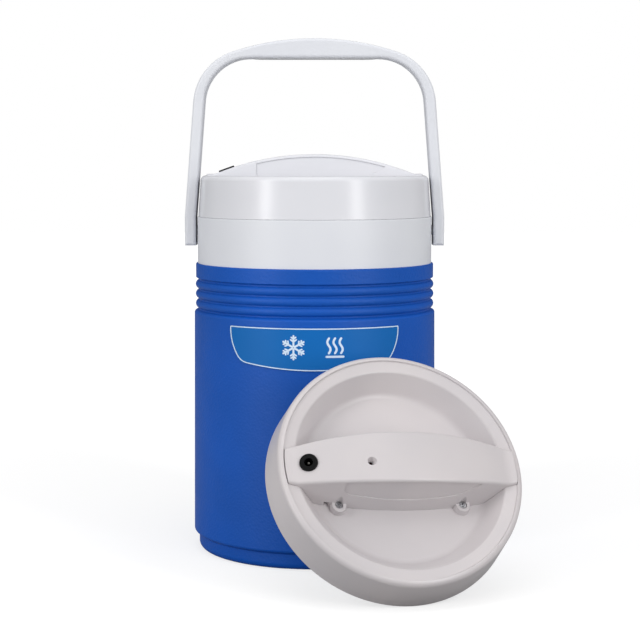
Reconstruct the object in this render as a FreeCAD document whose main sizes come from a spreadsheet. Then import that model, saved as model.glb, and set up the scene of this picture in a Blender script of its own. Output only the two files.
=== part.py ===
"""Cold therapy cooler with a pump lid, and a second pump lid leaning against it.

Frame: origin at the middle of the cooler's base, on the surface it stands on.
+Z is up and the front, with the label, faces -Y.  Lengths are in millimetres.

Each lid is built in a frame of its own: origin at the middle of its skirt's lower
edge, +Z out of its top, and its carrying bar along X.
"""
import FreeCAD, Part
import math
import os
import re

import Sketcher

Vector = FreeCAD.Vector
Rotation = FreeCAD.Rotation
Placement = FreeCAD.Placement
X_AXIS = Vector(1, 0, 0)
Y_AXIS = Vector(0, 1, 0)
Z_AXIS = Vector(0, 0, 1)
ALONG = {"X": Rotation(Y_AXIS, 90), "Y": Rotation(X_AXIS, -90), "Z": Rotation()}
TINY = 1e-3
RIBS = 3
LUGS = 4

# ---------------------------------------------------------------- driving sizes
SIZES = {
    # outer shell: blue, with a plinth below and ribs near the top
    "base_radius": 100.0,
    "wall_taper": 1.2,
    "shoulder_height": 196.2,
    "plinth_step": 4.0,
    "plinth_height": 15.0,
    "plinth_slope": 2.5,
    "plinth_round": 5.0,
    "base_round": 2.0,
    "foot_width": 12.0,
    "foot_lift": 2.0,
    "foot_disc_radius": 55.0,
    "shell_wall": 2.6,
    "groove_rise": 2.2,
    "rib_pitch": 7.93,
    "rib_bow": 2.3,
    "groove_depth": 3.3,
    "groove_width": 1.2,
    "lip_step": 1.3,
    "lip_round": 1.2,
    "lip_height": 13.31,
    # collar: white ring with the neck that the lid closes on
    "collar_step": 1.6,
    "collar_wall": 2.6,
    "collar_height": 37.65,
    "collar_round": 0.6,
    "deck_thick": 2.6,
    "neck_step": 7.8,
    "neck_wall": 2.8,
    "tongue_depth": 7.5,
    "tongue_gap": 0.2,
    "lug_span": 36.0,
    "lug_reach": 1.8,
    "lug_thick": 5.0,
    "lug_base": 9.0,
    "lug_gap": 0.4,
    # inner liner and the foam round it
    "mouth_step": 5.3,
    "mouth_depth": 12.0,
    "liner_wall": 1.8,
    "liner_floor": 22.0,
    "liner_round": 8.0,
    "foam_gap": 0.2,
    # bail handle and its pins
    "pivot_drop": 11.15,
    "pivot_boss_radius": 8.0,
    "bail_gap": 1.1,
    "bail_thick": 8.8,
    "bail_width": 26.0,
    "bail_foot": 12.3,
    "bail_straight": 11.0,
    "bail_lean": 4.55,
    "bail_rise": 155.2,
    "bail_crown": 23.0,
    "bail_outer_round": 46.5,
    "bail_inner_round": 37.5,
    "bail_edge": 2.5,
    "grip_depth": 15.7,
    "grip_end_gap": 2.1,
    "grip_width": 20.0,
    "grip_thick": 5.0,
    "grip_proud": 0.5,
    "grip_play": 0.1,
    "pin_radius": 4.0,
    "pin_head_radius": 6.5,
    "pin_head_thick": 2.5,
    "pin_fit": 0.08,
    "pin_head_gap": 0.3,
    # label: a thin curved plate on the front
    "label_drop": 5.6,
    "label_height": 33.4,
    "label_half_width": 66.0,
    "label_foot_half_width": 57.5,
    "label_foot_rise": 5.3,
    "label_side_bow": 2.6,
    "label_top_round": 1.5,
    "label_foot_round": 5.0,
    "label_thick": 0.5,
    "label_gap": 0.2,
    # hose outlet low on the back, with its thumb latch
    "outlet_height": 45.0,
    "outlet_pad_radius": 18.0,
    "outlet_pad_proud": 1.5,
    "outlet_pad_bury": 2.4,
    "outlet_shank_radius": 8.0,
    "outlet_fit": 0.1,
    "outlet_flange_radius": 16.0,
    "outlet_flange_thick": 3.0,
    "outlet_barrel_radius": 13.5,
    "outlet_barrel_length": 18.0,
    "socket_radius": 6.25,
    "socket_depth": 14.0,
    "outlet_passage_radius": 4.0,
    "outlet_inner_reach": 12.0,
    "outlet_nut_width": 24.0,
    "outlet_nut_thick": 5.0,
    "outlet_seal_thick": 1.6,
    "outlet_seal_crown": 1.8,
    "nut_play": 0.05,
    "latch_offset": 7.0,
    "latch_wall": 2.4,
    "latch_floor": 1.5,
    "latch_thick": 2.5,
    "latch_half_width": 8.0,
    "latch_travel": 2.5,
    "latch_slack": 0.3,
    "latch_rise": 0.6,
    "latch_pad_length": 9.0,
    "latch_pad_thick": 3.5,
    "spring_wire": 0.6,
    "spring_radius": 2.0,
    "spring_turns": 3.0,
    # lid shell
    "lid_step": 0.6,
    "lid_draft": 2.3,
    "lid_height": 33.5,
    "rim_round": 4.0,
    "lid_wall": 2.4,
    "skirt_edge": 0.6,
    "rim_width": 6.7,
    "step_drop": 1.2,
    "step_slant": 0.4,
    "land_width": 8.6,
    "land_fall": 1.0,
    "land_round": 1.8,
    "bowl_draft": 11.5,
    "bowl_depth": 18.5,
    "bowl_round": 6.0,
    # lid underside: liner plug, foam and gasket
    "plug_gap": 0.6,
    "plug_wall": 1.8,
    "plug_depth": 6.5,
    "plug_round": 3.0,
    "flange_thick": 1.6,
    "gasket_thick": 2.5,
    "gasket_gap": 0.3,
    # carrying bar over the bowl
    "bar_height": 17.3,
    "bar_end_height": 1.2,
    "bar_tail": 7.4,
    "bar_bend": 15.0,
    "bar_half_width": 19.8,
    "bar_end_half_width": 10.0,
    "bar_flare": 7.2,
    "bar_wall": 2.2,
    "bar_gap": 0.2,
    "bar_edge": 2.0,
    "scoop_left": 47.0,
    "scoop_right": 57.0,
    "scoop_drop": 2.4,
    "scoop_low": 20.4,
    "scoop_belly": 2.8,
    "scoop_left_round": 6.0,
    "scoop_right_run": 17.0,
    "scoop_depth": 0.7,
    "vent_x": 28.0,
    "vent_y": 3.5,
    "vent_radius": 3.3,
    "vent_throat": 1.4,
    "vent_depth": 4.8,
    "vent_wall": 1.0,
    # bar screws
    "screw_x": 47.5,
    "screw_y": 24.5,
    "screw_radius": 1.45,
    "screw_head_radius": 2.6,
    "screw_head_thick": 1.8,
    "screw_length": 8.0,
    "screw_slot": 0.7,
    "screw_slot_length": 3.4,
    "screw_slot_depth": 1.0,
    "screw_play": 0.05,
    "screw_tip_gap": 1.0,
    "head_play": 0.4,
    "shank_play": 0.15,
    "ear_radius": 6.4,
    "ear_draft": 1.0,
    "ear_height": 5.0,
    "ear_floor": 2.4,
    "notch_x": 9.0,
    "notch_y": 2.2,
    "notch_radius": 1.9,
    "boss_radius": 3.5,
    "boss_depth": 7.0,
    # power socket in the bar
    "jack_inset": 16.4,
    "jack_radius": 6.6,
    "jack_flange": 2.1,
    "jack_proud": 1.3,
    "jack_play": 0.1,
    "jack_body_radius": 5.3,
    "jack_depth": 11.0,
    "jack_bore": 3.2,
    "jack_bore_depth": 9.0,
    "jack_pin_radius": 1.05,
    "jack_pin_length": 7.5,
    "jack_pin_root": 1.0,
    "jack_pin_taper": 0.4,
    # air pump under the bar
    "motor_radius": 12.0,
    "motor_length": 30.0,
    "motor_x": -20.0,
    "motor_lift": 3.0,
    "motor_nose_radius": 4.0,
    "motor_nose": 2.0,
    "shaft_radius": 1.2,
    "shaft_fit": 0.06,
    "shaft_in_motor": 22.0,
    "shaft_end_gap": 0.5,
    "cradle_length": 20.0,
    "cradle_width": 22.0,
    "cradle_gap": 0.1,
    "head_length": 20.0,
    "head_width": 26.0,
    "head_height": 25.0,
    "chamber_radius": 8.0,
    "chamber_depth": 14.0,
    "crank_gap": 3.0,
    "crank_radius": 5.0,
    "crank_offset": 1.4,
    "crank_thick": 5.0,
    "crank_tip": 1.0,
    "diaphragm_radius": 7.5,
    "diaphragm_thick": 1.2,
    "diaphragm_rim": 1.5,
    "diaphragm_slope": 1.0,
    "diaphragm_groove": 1.5,
    "diaphragm_play": 0.1,
    "board_length": 30.0,
    "board_width": 24.0,
    "board_thick": 1.6,
    "board_x": -54.0,
    "rail_height": 3.0,
    "rail_width": 2.4,
    "chip_size": 8.0,
    "chip_thick": 1.4,
    # air line down through the lid
    "nozzle_x": 48.0,
    "nozzle_radius": 4.0,
    "nozzle_fit": 0.2,
    "nozzle_flange_radius": 6.0,
    "nozzle_flange_thick": 2.0,
    "nozzle_bore": 1.5,
    "barb_radius": 2.0,
    "barb_length": 7.0,
    "nozzle_nut_width": 13.0,
    "nozzle_nut_thick": 4.0,
    "nozzle_tail": 2.0,
    "tube_radius": 3.2,
    "tube_bend": 7.0,
    "tube_gap": 0.2,
    "tube_play": 0.05,
    "port_height": 7.0,
    "port_length": 3.0,
    "port_depth": 3.0,
    "port_bore": 0.75,
    # wires inside the lid
    "wire_radius": 0.7,
    "wire_space": 2.4,
    "wire_bend": 2.1,
    "wire_drop": 3.0,
    "wire_inset": 4.0,
    "wire_lift": 4.0,
    "wire_over_motor": 5.0,
    # the second lid, leaning on the cooler
    "lean_elevation": 36.3,
    "lean_heading": 17.6,
    "lean_bearing": 21.2,
    "lean_roll": -3.9,
    "lean_gap": 0.3,
    # how far a joined piece runs into its neighbour, and a cutter past what it cuts
    "bite": 0.5,
    "past": 1.0,
}

# Sizes and places that follow from the ones above.
DERIVED = {
    # outer shell
    "plinth_radius": "base_radius - plinth_step",
    "shoulder_radius": "base_radius - wall_taper",
    "wall_slope": "wall_taper / (shoulder_height - plinth_height)",
    "groove_radius": "shoulder_radius - groove_depth",
    "first_groove": "shoulder_height + groove_rise",
    "last_groove": "first_groove + %d * rib_pitch" % RIBS,
    "lip_radius": "shoulder_radius - lip_step",
    "seam_height": "last_groove + lip_height",
    "shell_bore": "groove_radius - shell_wall",
    "floor_top": "foot_lift + shell_wall",
    # collar, liner and foam
    "collar_radius": "lip_radius - collar_step",
    "seat_height": "seam_height + collar_height",
    "pivot_height": "seat_height - pivot_drop",
    "neck_radius": "collar_radius - neck_step",
    "neck_bore": "neck_radius - neck_wall",
    "lug_radius": "neck_radius + lug_gap",
    "liner_radius": "neck_bore - mouth_step",
    "liner_outer": "liner_radius + liner_wall",
    "mouth_floor": "seat_height - mouth_depth",
    "boss_start": "neck_bore + liner_wall + foam_gap",
    "boss_length": "collar_radius - collar_wall / 2 - boss_start",
    # bail: half widths and heights of its arms and grip
    "bail_inner": "collar_radius + bail_gap",
    "bail_outer": "bail_inner + bail_thick",
    "bail_low": "pivot_height - bail_foot",
    "bail_bend": "pivot_height + bail_straight",
    "bail_top": "pivot_height + bail_rise",
    "bail_shoulder": "bail_top - bail_crown",
    "bail_shoulder_x": "bail_outer - tan(bail_lean) * (bail_shoulder - bail_bend)",
    "grip_underside": "bail_top - grip_depth",
    "grip_corner_x": "bail_inner - tan(bail_lean) * (grip_underside - bail_bend)",
    "grip_turn": "90 - bail_lean",
    "grip_corner_reach": "bail_inner_round * tan(grip_turn / 2)",
    "grip_corner_bow": "bail_inner_round * (1 - cos(grip_turn / 2))",
    "grip_length": "2 * (grip_corner_x - grip_corner_reach - grip_end_gap)",
    "pin_length": "bail_outer - boss_start",
    # label
    "label_top": "shoulder_height - label_drop",
    "label_bottom": "label_top - label_height",
    "label_reach": "base_radius + outlet_pad_proud",
    # outlet
    "outlet_pad_reach": "base_radius + outlet_pad_proud",
    "outlet_barrel_start": "outlet_pad_reach + outlet_flange_thick",
    "outlet_mouth": "outlet_barrel_start + outlet_barrel_length",
    "outlet_inner_end": "liner_radius - outlet_inner_reach",
    "outlet_low": "outlet_height - outlet_barrel_radius",
    "seal_face": "liner_radius - outlet_seal_crown - outlet_seal_thick",
    "latch_y": "outlet_barrel_start + latch_offset",
    "latch_middle": "latch_y + latch_thick / 2",
    "latch_slot_half": "latch_half_width + latch_slack",
    "spring_foot": "outlet_low + latch_floor",
    "spring_height": "latch_travel + latch_slack + spring_turns * spring_wire",
    "latch_low": "spring_foot + spring_height",
    "latch_top": "outlet_height + outlet_barrel_radius + latch_travel + latch_rise",
    "spring_seat": "0.55 * spring_wire",
    # lid
    "lid_radius": "collar_radius - lid_step",
    "lid_top_radius": "lid_radius - lid_draft",
    "step_radius": "lid_radius - rim_width",
    "bowl_radius": "step_radius - land_width",
    "bowl_floor_radius": "bowl_radius - bowl_draft",
    "land_outer": "lid_height - step_drop",
    "land_inner": "land_outer - land_fall",
    "bowl_floor": "lid_height - bowl_depth",
    "bowl_slope": "bowl_draft / (land_inner - bowl_floor)",
    "rim_underside": "land_inner - lid_wall",
    "floor_underside": "bowl_floor - lid_wall",
    "lid_lug_top": "lug_base - lug_gap",
    "plug_radius": "neck_bore - plug_gap",
    "plug_bore": "plug_radius - plug_wall",
    "gasket_top": "rim_underside - flange_thick",
    "neck_height": "gasket_top - gasket_thick - gasket_gap",
    # carrying bar, its vent and the power socket
    "bar_reach": "step_radius - bar_gap",
    "bar_top": "lid_height + bar_height",
    "bar_bow": "bar_height - bar_end_height",
    "arch_half": "bar_reach - bar_tail",
    "bar_arch_radius": "(arch_half^2 + bar_bow^2) / (2 * bar_bow)",
    "bend_reach": "bar_arch_radius + bar_bend",
    "bend_x": "sqrt(bar_bow * (2 * bend_reach - bar_bow))",
    "bend_sag": "1 - sqrt(1 - bar_bow / (2 * bend_reach))",
    "scoop_foot": "bar_top - scoop_low",
    "scoop_top": "bar_top - scoop_drop - bar_arch_radius",
    "scoop_left_top": "scoop_top + sqrt(bar_arch_radius^2 - scoop_left^2)",
    "scoop_right_top": "scoop_top + sqrt(bar_arch_radius^2 - scoop_right^2)",
    "scoop_chord": "sqrt((scoop_left + scoop_right)^2 + (scoop_left_top - scoop_right_top)^2)",
    "scoop_crown": "bar_arch_radius - sqrt(bar_arch_radius^2 - scoop_chord^2 / 4)",
    "vent_drop": "vent_x^2 / (2 * bar_arch_radius)",
    "vent_low": "bar_top - vent_drop - vent_depth",
    "vent_grow": "past * (vent_radius - vent_throat) / vent_depth",
    "screw_seat": "bowl_floor + ear_floor",
    "jack_x": "bar_reach - jack_inset",
    "jack_floor": "jack_proud - jack_bore_depth",
    "jack_hole_reach": "3 * bar_wall",
    # pump
    "motor_height": "bowl_floor + motor_lift + motor_radius",
    "head_start": "motor_x + motor_length + motor_nose",
    "head_top": "motor_height + head_height / 2",
    "port_level": "motor_height + port_height",
    "crank_start": "motor_length + motor_nose + crank_gap",
    "shaft_start": "motor_length - shaft_in_motor + shaft_end_gap",
    "shaft_end": "crank_start + crank_thick + crank_tip",
    "board_low": "bowl_floor + rail_height",
    "board_top": "board_low + board_thick",
    "nozzle_seat": "bowl_floor + nozzle_flange_thick",
}
CELLS = {**SIZES, **{alias: "=" + formula for alias, formula in DERIVED.items()}}

doc = FreeCAD.newDocument("ColdTherapyCooler")
sheet = doc.addObject("Spreadsheet::Sheet", "Sizes")
for row, (alias, value) in enumerate(CELLS.items(), start=1):
    sheet.set("A%d" % row, alias)
    sheet.set("B%d" % row, str(value))
    sheet.setAlias("B%d" % row, alias)
doc.recompute()


def full(expression):
    """The expression with each size written as a cell of the sheet."""
    def cell(match):
        word = match.group(0)
        return "Sizes." + word if word in CELLS else word
    return re.sub(r"[A-Za-z_]\w*", cell, str(expression))


def size(expression):
    """The number that an expression of sizes comes to."""
    return float(sheet.evalExpression(full(expression)))


def bind(obj, **properties):
    """Tie properties of an object to expressions of the sizes."""
    for name, expression in properties.items():
        obj.setExpression(name, full(expression))
    return obj


def new_body(name):
    return doc.addObject("PartDesign::Body", name)


def origin_plane(body, role):
    return next(f for f in body.Origin.OriginFeatures if f.Role == role)


def outline(body, name, plane, points, lift="0"):
    """A closed sketch on an origin plane of the body, lifted off it by lift.

    Each point is (across, up) or (across, up, bow): bow is how far the edge to the
    next point arcs out to the right of its way.
    """
    sketch = body.newObject("Sketcher::SketchObject", name)
    sketch.AttachmentSupport = [(origin_plane(body, plane), "")]
    sketch.MapMode = "FlatFace"
    sketch.setExpression(".AttachmentOffset.Base.z", full(lift))
    places = [Vector(size(p[0]), size(p[1]), 0) for p in points]
    ends = []
    for i, point in enumerate(points):
        start, end = places[i], places[(i + 1) % len(points)]
        if len(point) == 2:
            sketch.addGeometry(Part.LineSegment(start, end), False)
            ends.append((1, 2))
            continue
        bow = size(point[2])
        way = (end - start).normalize()
        middle = (start + end) * 0.5 + Vector(way.y, -way.x, 0) * bow
        sketch.addGeometry(Part.Arc(start, middle, end), False)
        ends.append((1, 2) if bow > 0 else (2, 1))
    for i, point in enumerate(points):
        after = (i + 1) % len(points)
        sketch.addConstraint(Sketcher.Constraint("Coincident", i, ends[i][1], after, ends[after][0]))
        for kind, number, value in (("DistanceX", 0, places[i].x), ("DistanceY", 1, places[i].y)):
            tag = "%s%d" % ("across" if number == 0 else "up", i)
            place = sketch.addConstraint(Sketcher.Constraint(kind, -1, 1, i, ends[i][0], value))
            sketch.renameConstraint(place, tag)
            sketch.setExpression("Constraints." + tag, full(point[number]))
        if len(point) == 3:
            beyond = points[after]
            chord = "((%s - (%s))^2 + (%s - (%s))^2)" % (beyond[0], point[0], beyond[1], point[1])
            radius = "%s / (8 * abs(%s)) + abs(%s) / 2" % (chord, point[2], point[2])
            arc = sketch.addConstraint(Sketcher.Constraint("Radius", i, size(radius)))
            sketch.renameConstraint(arc, "round%d" % i)
            sketch.setExpression("Constraints.round%d" % i, full(radius))
    return sketch


def revolve(body, sketch, axis="V_Axis", angle="360", middle=False):
    feature = body.newObject("PartDesign::Revolution", sketch.Name + "Turned")
    feature.Profile = sketch
    feature.ReferenceAxis = (sketch, [axis])
    feature.Midplane = middle
    bind(feature, Angle=angle)
    return feature


def turned(name, points, axis="V_Axis"):
    """A body turned from a half section, given as (radius, height) points."""
    body = new_body(name)
    revolve(body, outline(body, name + "Section", "XZ_Plane", points), axis)
    doc.recompute()
    return body


def pad(body, sketch, length, middle=False, reverse=False):
    feature = body.newObject("PartDesign::Pad", sketch.Name + "Pad")
    feature.Profile = sketch
    feature.Midplane = middle
    feature.Reversed = reverse
    bind(feature, Length=length)
    doc.recompute()
    return feature


def ring_edges(shape, radius, height):
    """Names of the round edges about Z with this radius and height."""
    names = []
    for number, edge in enumerate(shape.Edges, start=1):
        curve = edge.Curve
        if not isinstance(curve, Part.Circle):
            continue
        if abs(curve.Radius - size(radius)) < TINY and abs(curve.Center.z - size(height)) < TINY:
            names.append("Edge%d" % number)
    return names


def round_edges(body, names, radius, tag):
    """Fillet the named edges of the body's last feature."""
    if not names:
        raise RuntimeError("no edge to round for " + tag)
    last = body.Tip
    fillet = body.newObject("PartDesign::Fillet", tag)
    fillet.Base = (last, names)
    bind(fillet, Radius=radius)
    doc.recompute()
    return fillet


def round_ring(body, radius, height, fillet_radius, tag):
    return round_edges(body, ring_edges(body.Tip.Shape, radius, height), fillet_radius, tag)


def cone(name, low_radius, high_radius, height, at):
    """A round taper that stands on a point."""
    taper = doc.addObject("Part::Cone", name)
    bind(taper, Radius1=low_radius, Radius2=high_radius, Height=height)
    for axis, place in zip("xyz", at):
        taper.setExpression("Placement.Base." + axis, full(place))
    return taper


def cylinder(name, radius, length, at=(), along="Z"):
    """A round bar that starts at a point and runs along +X, +Y or +Z."""
    bar = doc.addObject("Part::Cylinder", name)
    bind(bar, Radius=radius, Height=length)
    bar.Placement = Placement(Vector(0, 0, 0), ALONG[along])
    for axis, place in zip("xyz", at):
        bar.setExpression("Placement.Base." + axis, full(place))
    return bar


def box(name, low, sides):
    """A block from its lowest corner and its three sides."""
    block = doc.addObject("Part::Box", name)
    bind(block, Length=sides[0], Width=sides[1], Height=sides[2])
    for axis, place in zip("xyz", low):
        block.setExpression("Placement.Base." + axis, full(place))
    return block


def hexagon(name, width, length, at, along="Z"):
    """A nut blank: width across its flats, from a point along an axis."""
    nut = doc.addObject("Part::Prism", name)
    nut.Polygon = 6
    bind(nut, Circumradius="%s / sqrt(3)" % width, Height=length)
    nut.Placement = Placement(Vector(0, 0, 0), ALONG[along])
    for axis, place in zip("xyz", at):
        nut.setExpression("Placement.Base." + axis, full(place))
    return nut


def fuse(name, pieces):
    joined = doc.addObject("Part::MultiFuse", name)
    joined.Shapes = pieces
    joined.Refine = True
    doc.recompute()
    return joined


def common(name, pieces):
    shared = doc.addObject("Part::MultiCommon", name)
    shared.Shapes = pieces
    doc.recompute()
    return shared


def cut(name, base, tools):
    tool = tools[0] if len(tools) == 1 else fuse(name + "Tools", tools)
    result = doc.addObject("Part::Cut", name)
    result.Base = base
    result.Tool = tool
    doc.recompute()
    return result


SUBPARTS = []


def subpart(obj, label, place=None):
    """Name an object as one sub-part of the product and put it in its place."""
    obj.Label = label
    if place is not None:
        obj.Placement = place
    SUBPARTS.append(obj)
    return obj


# ---------------------------------------------------------------- cooler: the jug
def body_radius(height):
    """The plain wall's outer radius at a height, as an expression."""
    return "(shoulder_radius + wall_slope * (shoulder_height - %s))" % height


def outlet_hole(name, radius):
    """A cutter for the hose outlet's hole, from the jug's axis out through its back."""
    return cylinder(name, radius, "2 * base_radius", ("0", "0", "outlet_height"), "Y")


def outer_shell():
    """The ribbed outer wall, open at the top, with a flat pad for the hose outlet."""
    ribs = []
    for rib in range(RIBS):
        ribs.append(("groove_radius", "first_groove + %d * rib_pitch - groove_width / 2" % rib))
        ribs.append(("groove_radius", "first_groove + %d * rib_pitch + groove_width / 2" % rib, "rib_bow"))
    body = turned("OuterShell", [
        ("0", "0"),
        ("foot_disc_radius", "0"),
        ("foot_disc_radius + foot_lift", "foot_lift"),
        ("plinth_radius - plinth_round - foot_width", "foot_lift"),
        ("plinth_radius - plinth_round - foot_width + foot_lift", "0"),
        ("plinth_radius", "0"),
        ("plinth_radius", "plinth_height - plinth_slope"),
        ("base_radius", "plinth_height"),
        ("shoulder_radius", "shoulder_height"),
        *ribs,
        ("groove_radius", "last_groove - groove_width / 2"),
        ("groove_radius", "last_groove + groove_width / 2"),
        ("lip_radius", "last_groove + groove_width / 2 + lip_round"),
        ("lip_radius", "seam_height"),
        ("shell_bore", "seam_height"),
        ("shell_bore", "shoulder_height"),
        ("shoulder_radius - shell_wall", "shoulder_height - shell_wall"),
        ("base_radius - shell_wall", "plinth_height + shell_wall"),
        ("plinth_radius - shell_wall", "plinth_height - plinth_slope + shell_wall"),
        ("plinth_radius - shell_wall", "floor_top"),
        ("0", "floor_top"),
    ])
    round_ring(body, "plinth_radius", "0", "plinth_round", "PlinthRound")
    round_ring(body, "base_radius", "plinth_height", "base_round", "BaseRound")
    round_ring(body, "shoulder_radius", "shoulder_height", "base_round", "ShoulderRound")
    round_ring(body, "lip_radius", "seam_height", "lip_round", "LipRound")
    pad_start = body_radius("outlet_height") + " - outlet_pad_bury"
    seat = cylinder("OutletPad", "outlet_pad_radius", "outlet_pad_reach - (%s)" % pad_start,
                    ("0", pad_start, "outlet_height"), "Y")
    walls = fuse("ShellWithPad", [body, seat])
    hole = outlet_hole("ShellOutletHole", "outlet_shank_radius + outlet_fit")
    subpart(cut("ShellBored", walls, [hole]), "outer_shell")


def inner_liner():
    """The food-grade inner bucket, widened at its mouth to take the lid's plug."""
    body = turned("InnerLiner", [
        ("0", "liner_floor - liner_wall"),
        ("liner_outer", "liner_floor - liner_wall"),
        ("liner_outer", "mouth_floor - liner_wall"),
        ("neck_bore + liner_wall", "mouth_floor - liner_wall"),
        ("neck_bore + liner_wall", "seat_height - deck_thick"),
        ("neck_bore", "seat_height - deck_thick"),
        ("neck_bore", "mouth_floor"),
        ("liner_radius", "mouth_floor"),
        ("liner_radius", "liner_floor"),
        ("0", "liner_floor"),
    ])
    round_ring(body, "liner_radius", "liner_floor", "liner_round - liner_wall", "LinerInnerRound")
    round_ring(body, "liner_outer", "liner_floor - liner_wall", "liner_round", "LinerOuterRound")
    hole = outlet_hole("LinerOutletHole", "outlet_shank_radius + outlet_fit")
    subpart(cut("LinerBored", body, [hole]), "inner_liner")


def foam_insulation():
    """Foam filling the space between the outer shell and the liner."""
    tongue_side = "shell_bore - tongue_gap - collar_wall - foam_gap"
    under_boss = "pivot_height - pivot_boss_radius - foam_gap"
    body = turned("FoamFill", [
        ("0", "floor_top + foam_gap"),
        ("plinth_radius - shell_wall - foam_gap", "floor_top + foam_gap"),
        ("plinth_radius - shell_wall - foam_gap", "plinth_height - plinth_slope + shell_wall"),
        ("base_radius - shell_wall - foam_gap", "plinth_height + shell_wall + foam_gap"),
        ("shoulder_radius - shell_wall - foam_gap", "shoulder_height - shell_wall - foam_gap"),
        ("shell_bore - foam_gap", "shoulder_height - foam_gap"),
        ("shell_bore - foam_gap", "seam_height - tongue_depth - foam_gap"),
        (tongue_side, "seam_height - tongue_depth - foam_gap"),
        (tongue_side, under_boss),
        ("neck_bore + liner_wall + foam_gap", under_boss),
        ("neck_bore + liner_wall + foam_gap", "mouth_floor - liner_wall - foam_gap"),
        ("liner_outer + foam_gap", "mouth_floor - liner_wall - foam_gap"),
        ("liner_outer + foam_gap", "liner_floor - liner_wall - foam_gap"),
        ("0", "liner_floor - liner_wall - foam_gap"),
    ])
    hole = outlet_hole("FoamOutletHole", "outlet_shank_radius + foam_gap")
    subpart(cut("FoamBored", body, [hole]), "foam_insulation")


def collar():
    """The white ring above the seam, with the lid's neck, its lugs and the bail's bosses."""
    body = turned("Collar", [
        ("shell_bore - tongue_gap - collar_wall", "seam_height - tongue_depth"),
        ("shell_bore - tongue_gap", "seam_height - tongue_depth"),
        ("shell_bore - tongue_gap", "seam_height"),
        ("collar_radius", "seam_height"),
        ("collar_radius", "seat_height"),
        ("neck_radius", "seat_height"),
        ("neck_radius", "seat_height + neck_height"),
        ("neck_bore", "seat_height + neck_height"),
        ("neck_bore", "seat_height - deck_thick"),
        ("collar_radius - collar_wall", "seat_height - deck_thick"),
        ("collar_radius - collar_wall", "seam_height + collar_wall"),
        ("shell_bore - tongue_gap - collar_wall", "seam_height + collar_wall"),
    ])
    round_ring(body, "collar_radius", "seat_height", "collar_round", "CollarRound")
    lug = outline(body, "NeckLug", "XZ_Plane", [
        ("neck_radius - bite", "seat_height + lug_base"),
        ("neck_radius + lug_reach", "seat_height + lug_base"),
        ("neck_radius + lug_reach", "seat_height + lug_base + lug_thick"),
        ("neck_radius - bite", "seat_height + lug_base + lug_thick"),
    ])
    lugs = around(body, revolve(body, lug, angle="lug_span", middle=True), lug)
    bosses = []
    for side, start in (("Left", "-boss_start - boss_length"), ("Right", "boss_start")):
        bosses.append(cylinder(side + "Boss", "pivot_boss_radius", "boss_length",
                               (start, "0", "pivot_height"), "X"))
    solid = fuse("CollarBossed", [lugs, *bosses])
    holes = []
    for side, start in (("Left", "-bail_inner"), ("Right", "boss_start - past")):
        holes.append(cylinder(side + "PinSocket", "pin_radius", "bail_inner - boss_start + past",
                              (start, "0", "pivot_height"), "X"))
    subpart(cut("CollarBored", solid, holes), "collar")


def around(body, feature, sketch):
    """Repeat a feature of the body evenly about Z, once for each lug."""
    doc.recompute()
    pattern = body.newObject("PartDesign::PolarPattern", feature.Name + "Ring")
    pattern.Originals = [feature]
    pattern.Axis = (sketch, ["V_Axis"])
    pattern.Angle = 360
    pattern.Occurrences = LUGS
    body.Tip = pattern
    doc.recompute()
    return body


def upright_edges(body, height):
    """Names of the body's straight edges along Y that lie at a height."""
    names = []
    for number, edge in enumerate(body.Tip.Shape.Edges, start=1):
        bounds = edge.BoundBox
        straight = bounds.XLength < TINY and bounds.ZLength < TINY
        if straight and abs(bounds.ZMin - size(height)) < TINY:
            names.append("Edge%d" % number)
    return names


def label_plate():
    """A plain curved plate on the front, straight above and bowed below and at its sides."""
    foot = "label_bottom + label_foot_rise"
    body = new_body("LabelFace")
    face = outline(body, "LabelOutline", "XZ_Plane", [
        ("-label_foot_half_width", foot, "label_foot_rise"),
        ("label_foot_half_width", foot, "label_side_bow"),
        ("label_half_width", "label_top"),
        ("-label_half_width", "label_top", "label_side_bow"),
    ])
    pad(body, face, "label_reach")
    round_edges(body, upright_edges(body, "label_top"), "label_top_round", "LabelTopCorners")
    round_edges(body, upright_edges(body, foot), "label_foot_round", "LabelFootCorners")
    low, high = "(label_bottom - past)", "(label_top + past)"
    band = turned("LabelBand", [
        (body_radius(low) + " + label_gap", low),
        (body_radius(low) + " + label_gap + label_thick", low),
        (body_radius(high) + " + label_gap + label_thick", high),
        (body_radius(high) + " + label_gap", high),
    ])
    subpart(common("LabelPlate", [band, body]), "label_plate")


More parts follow.
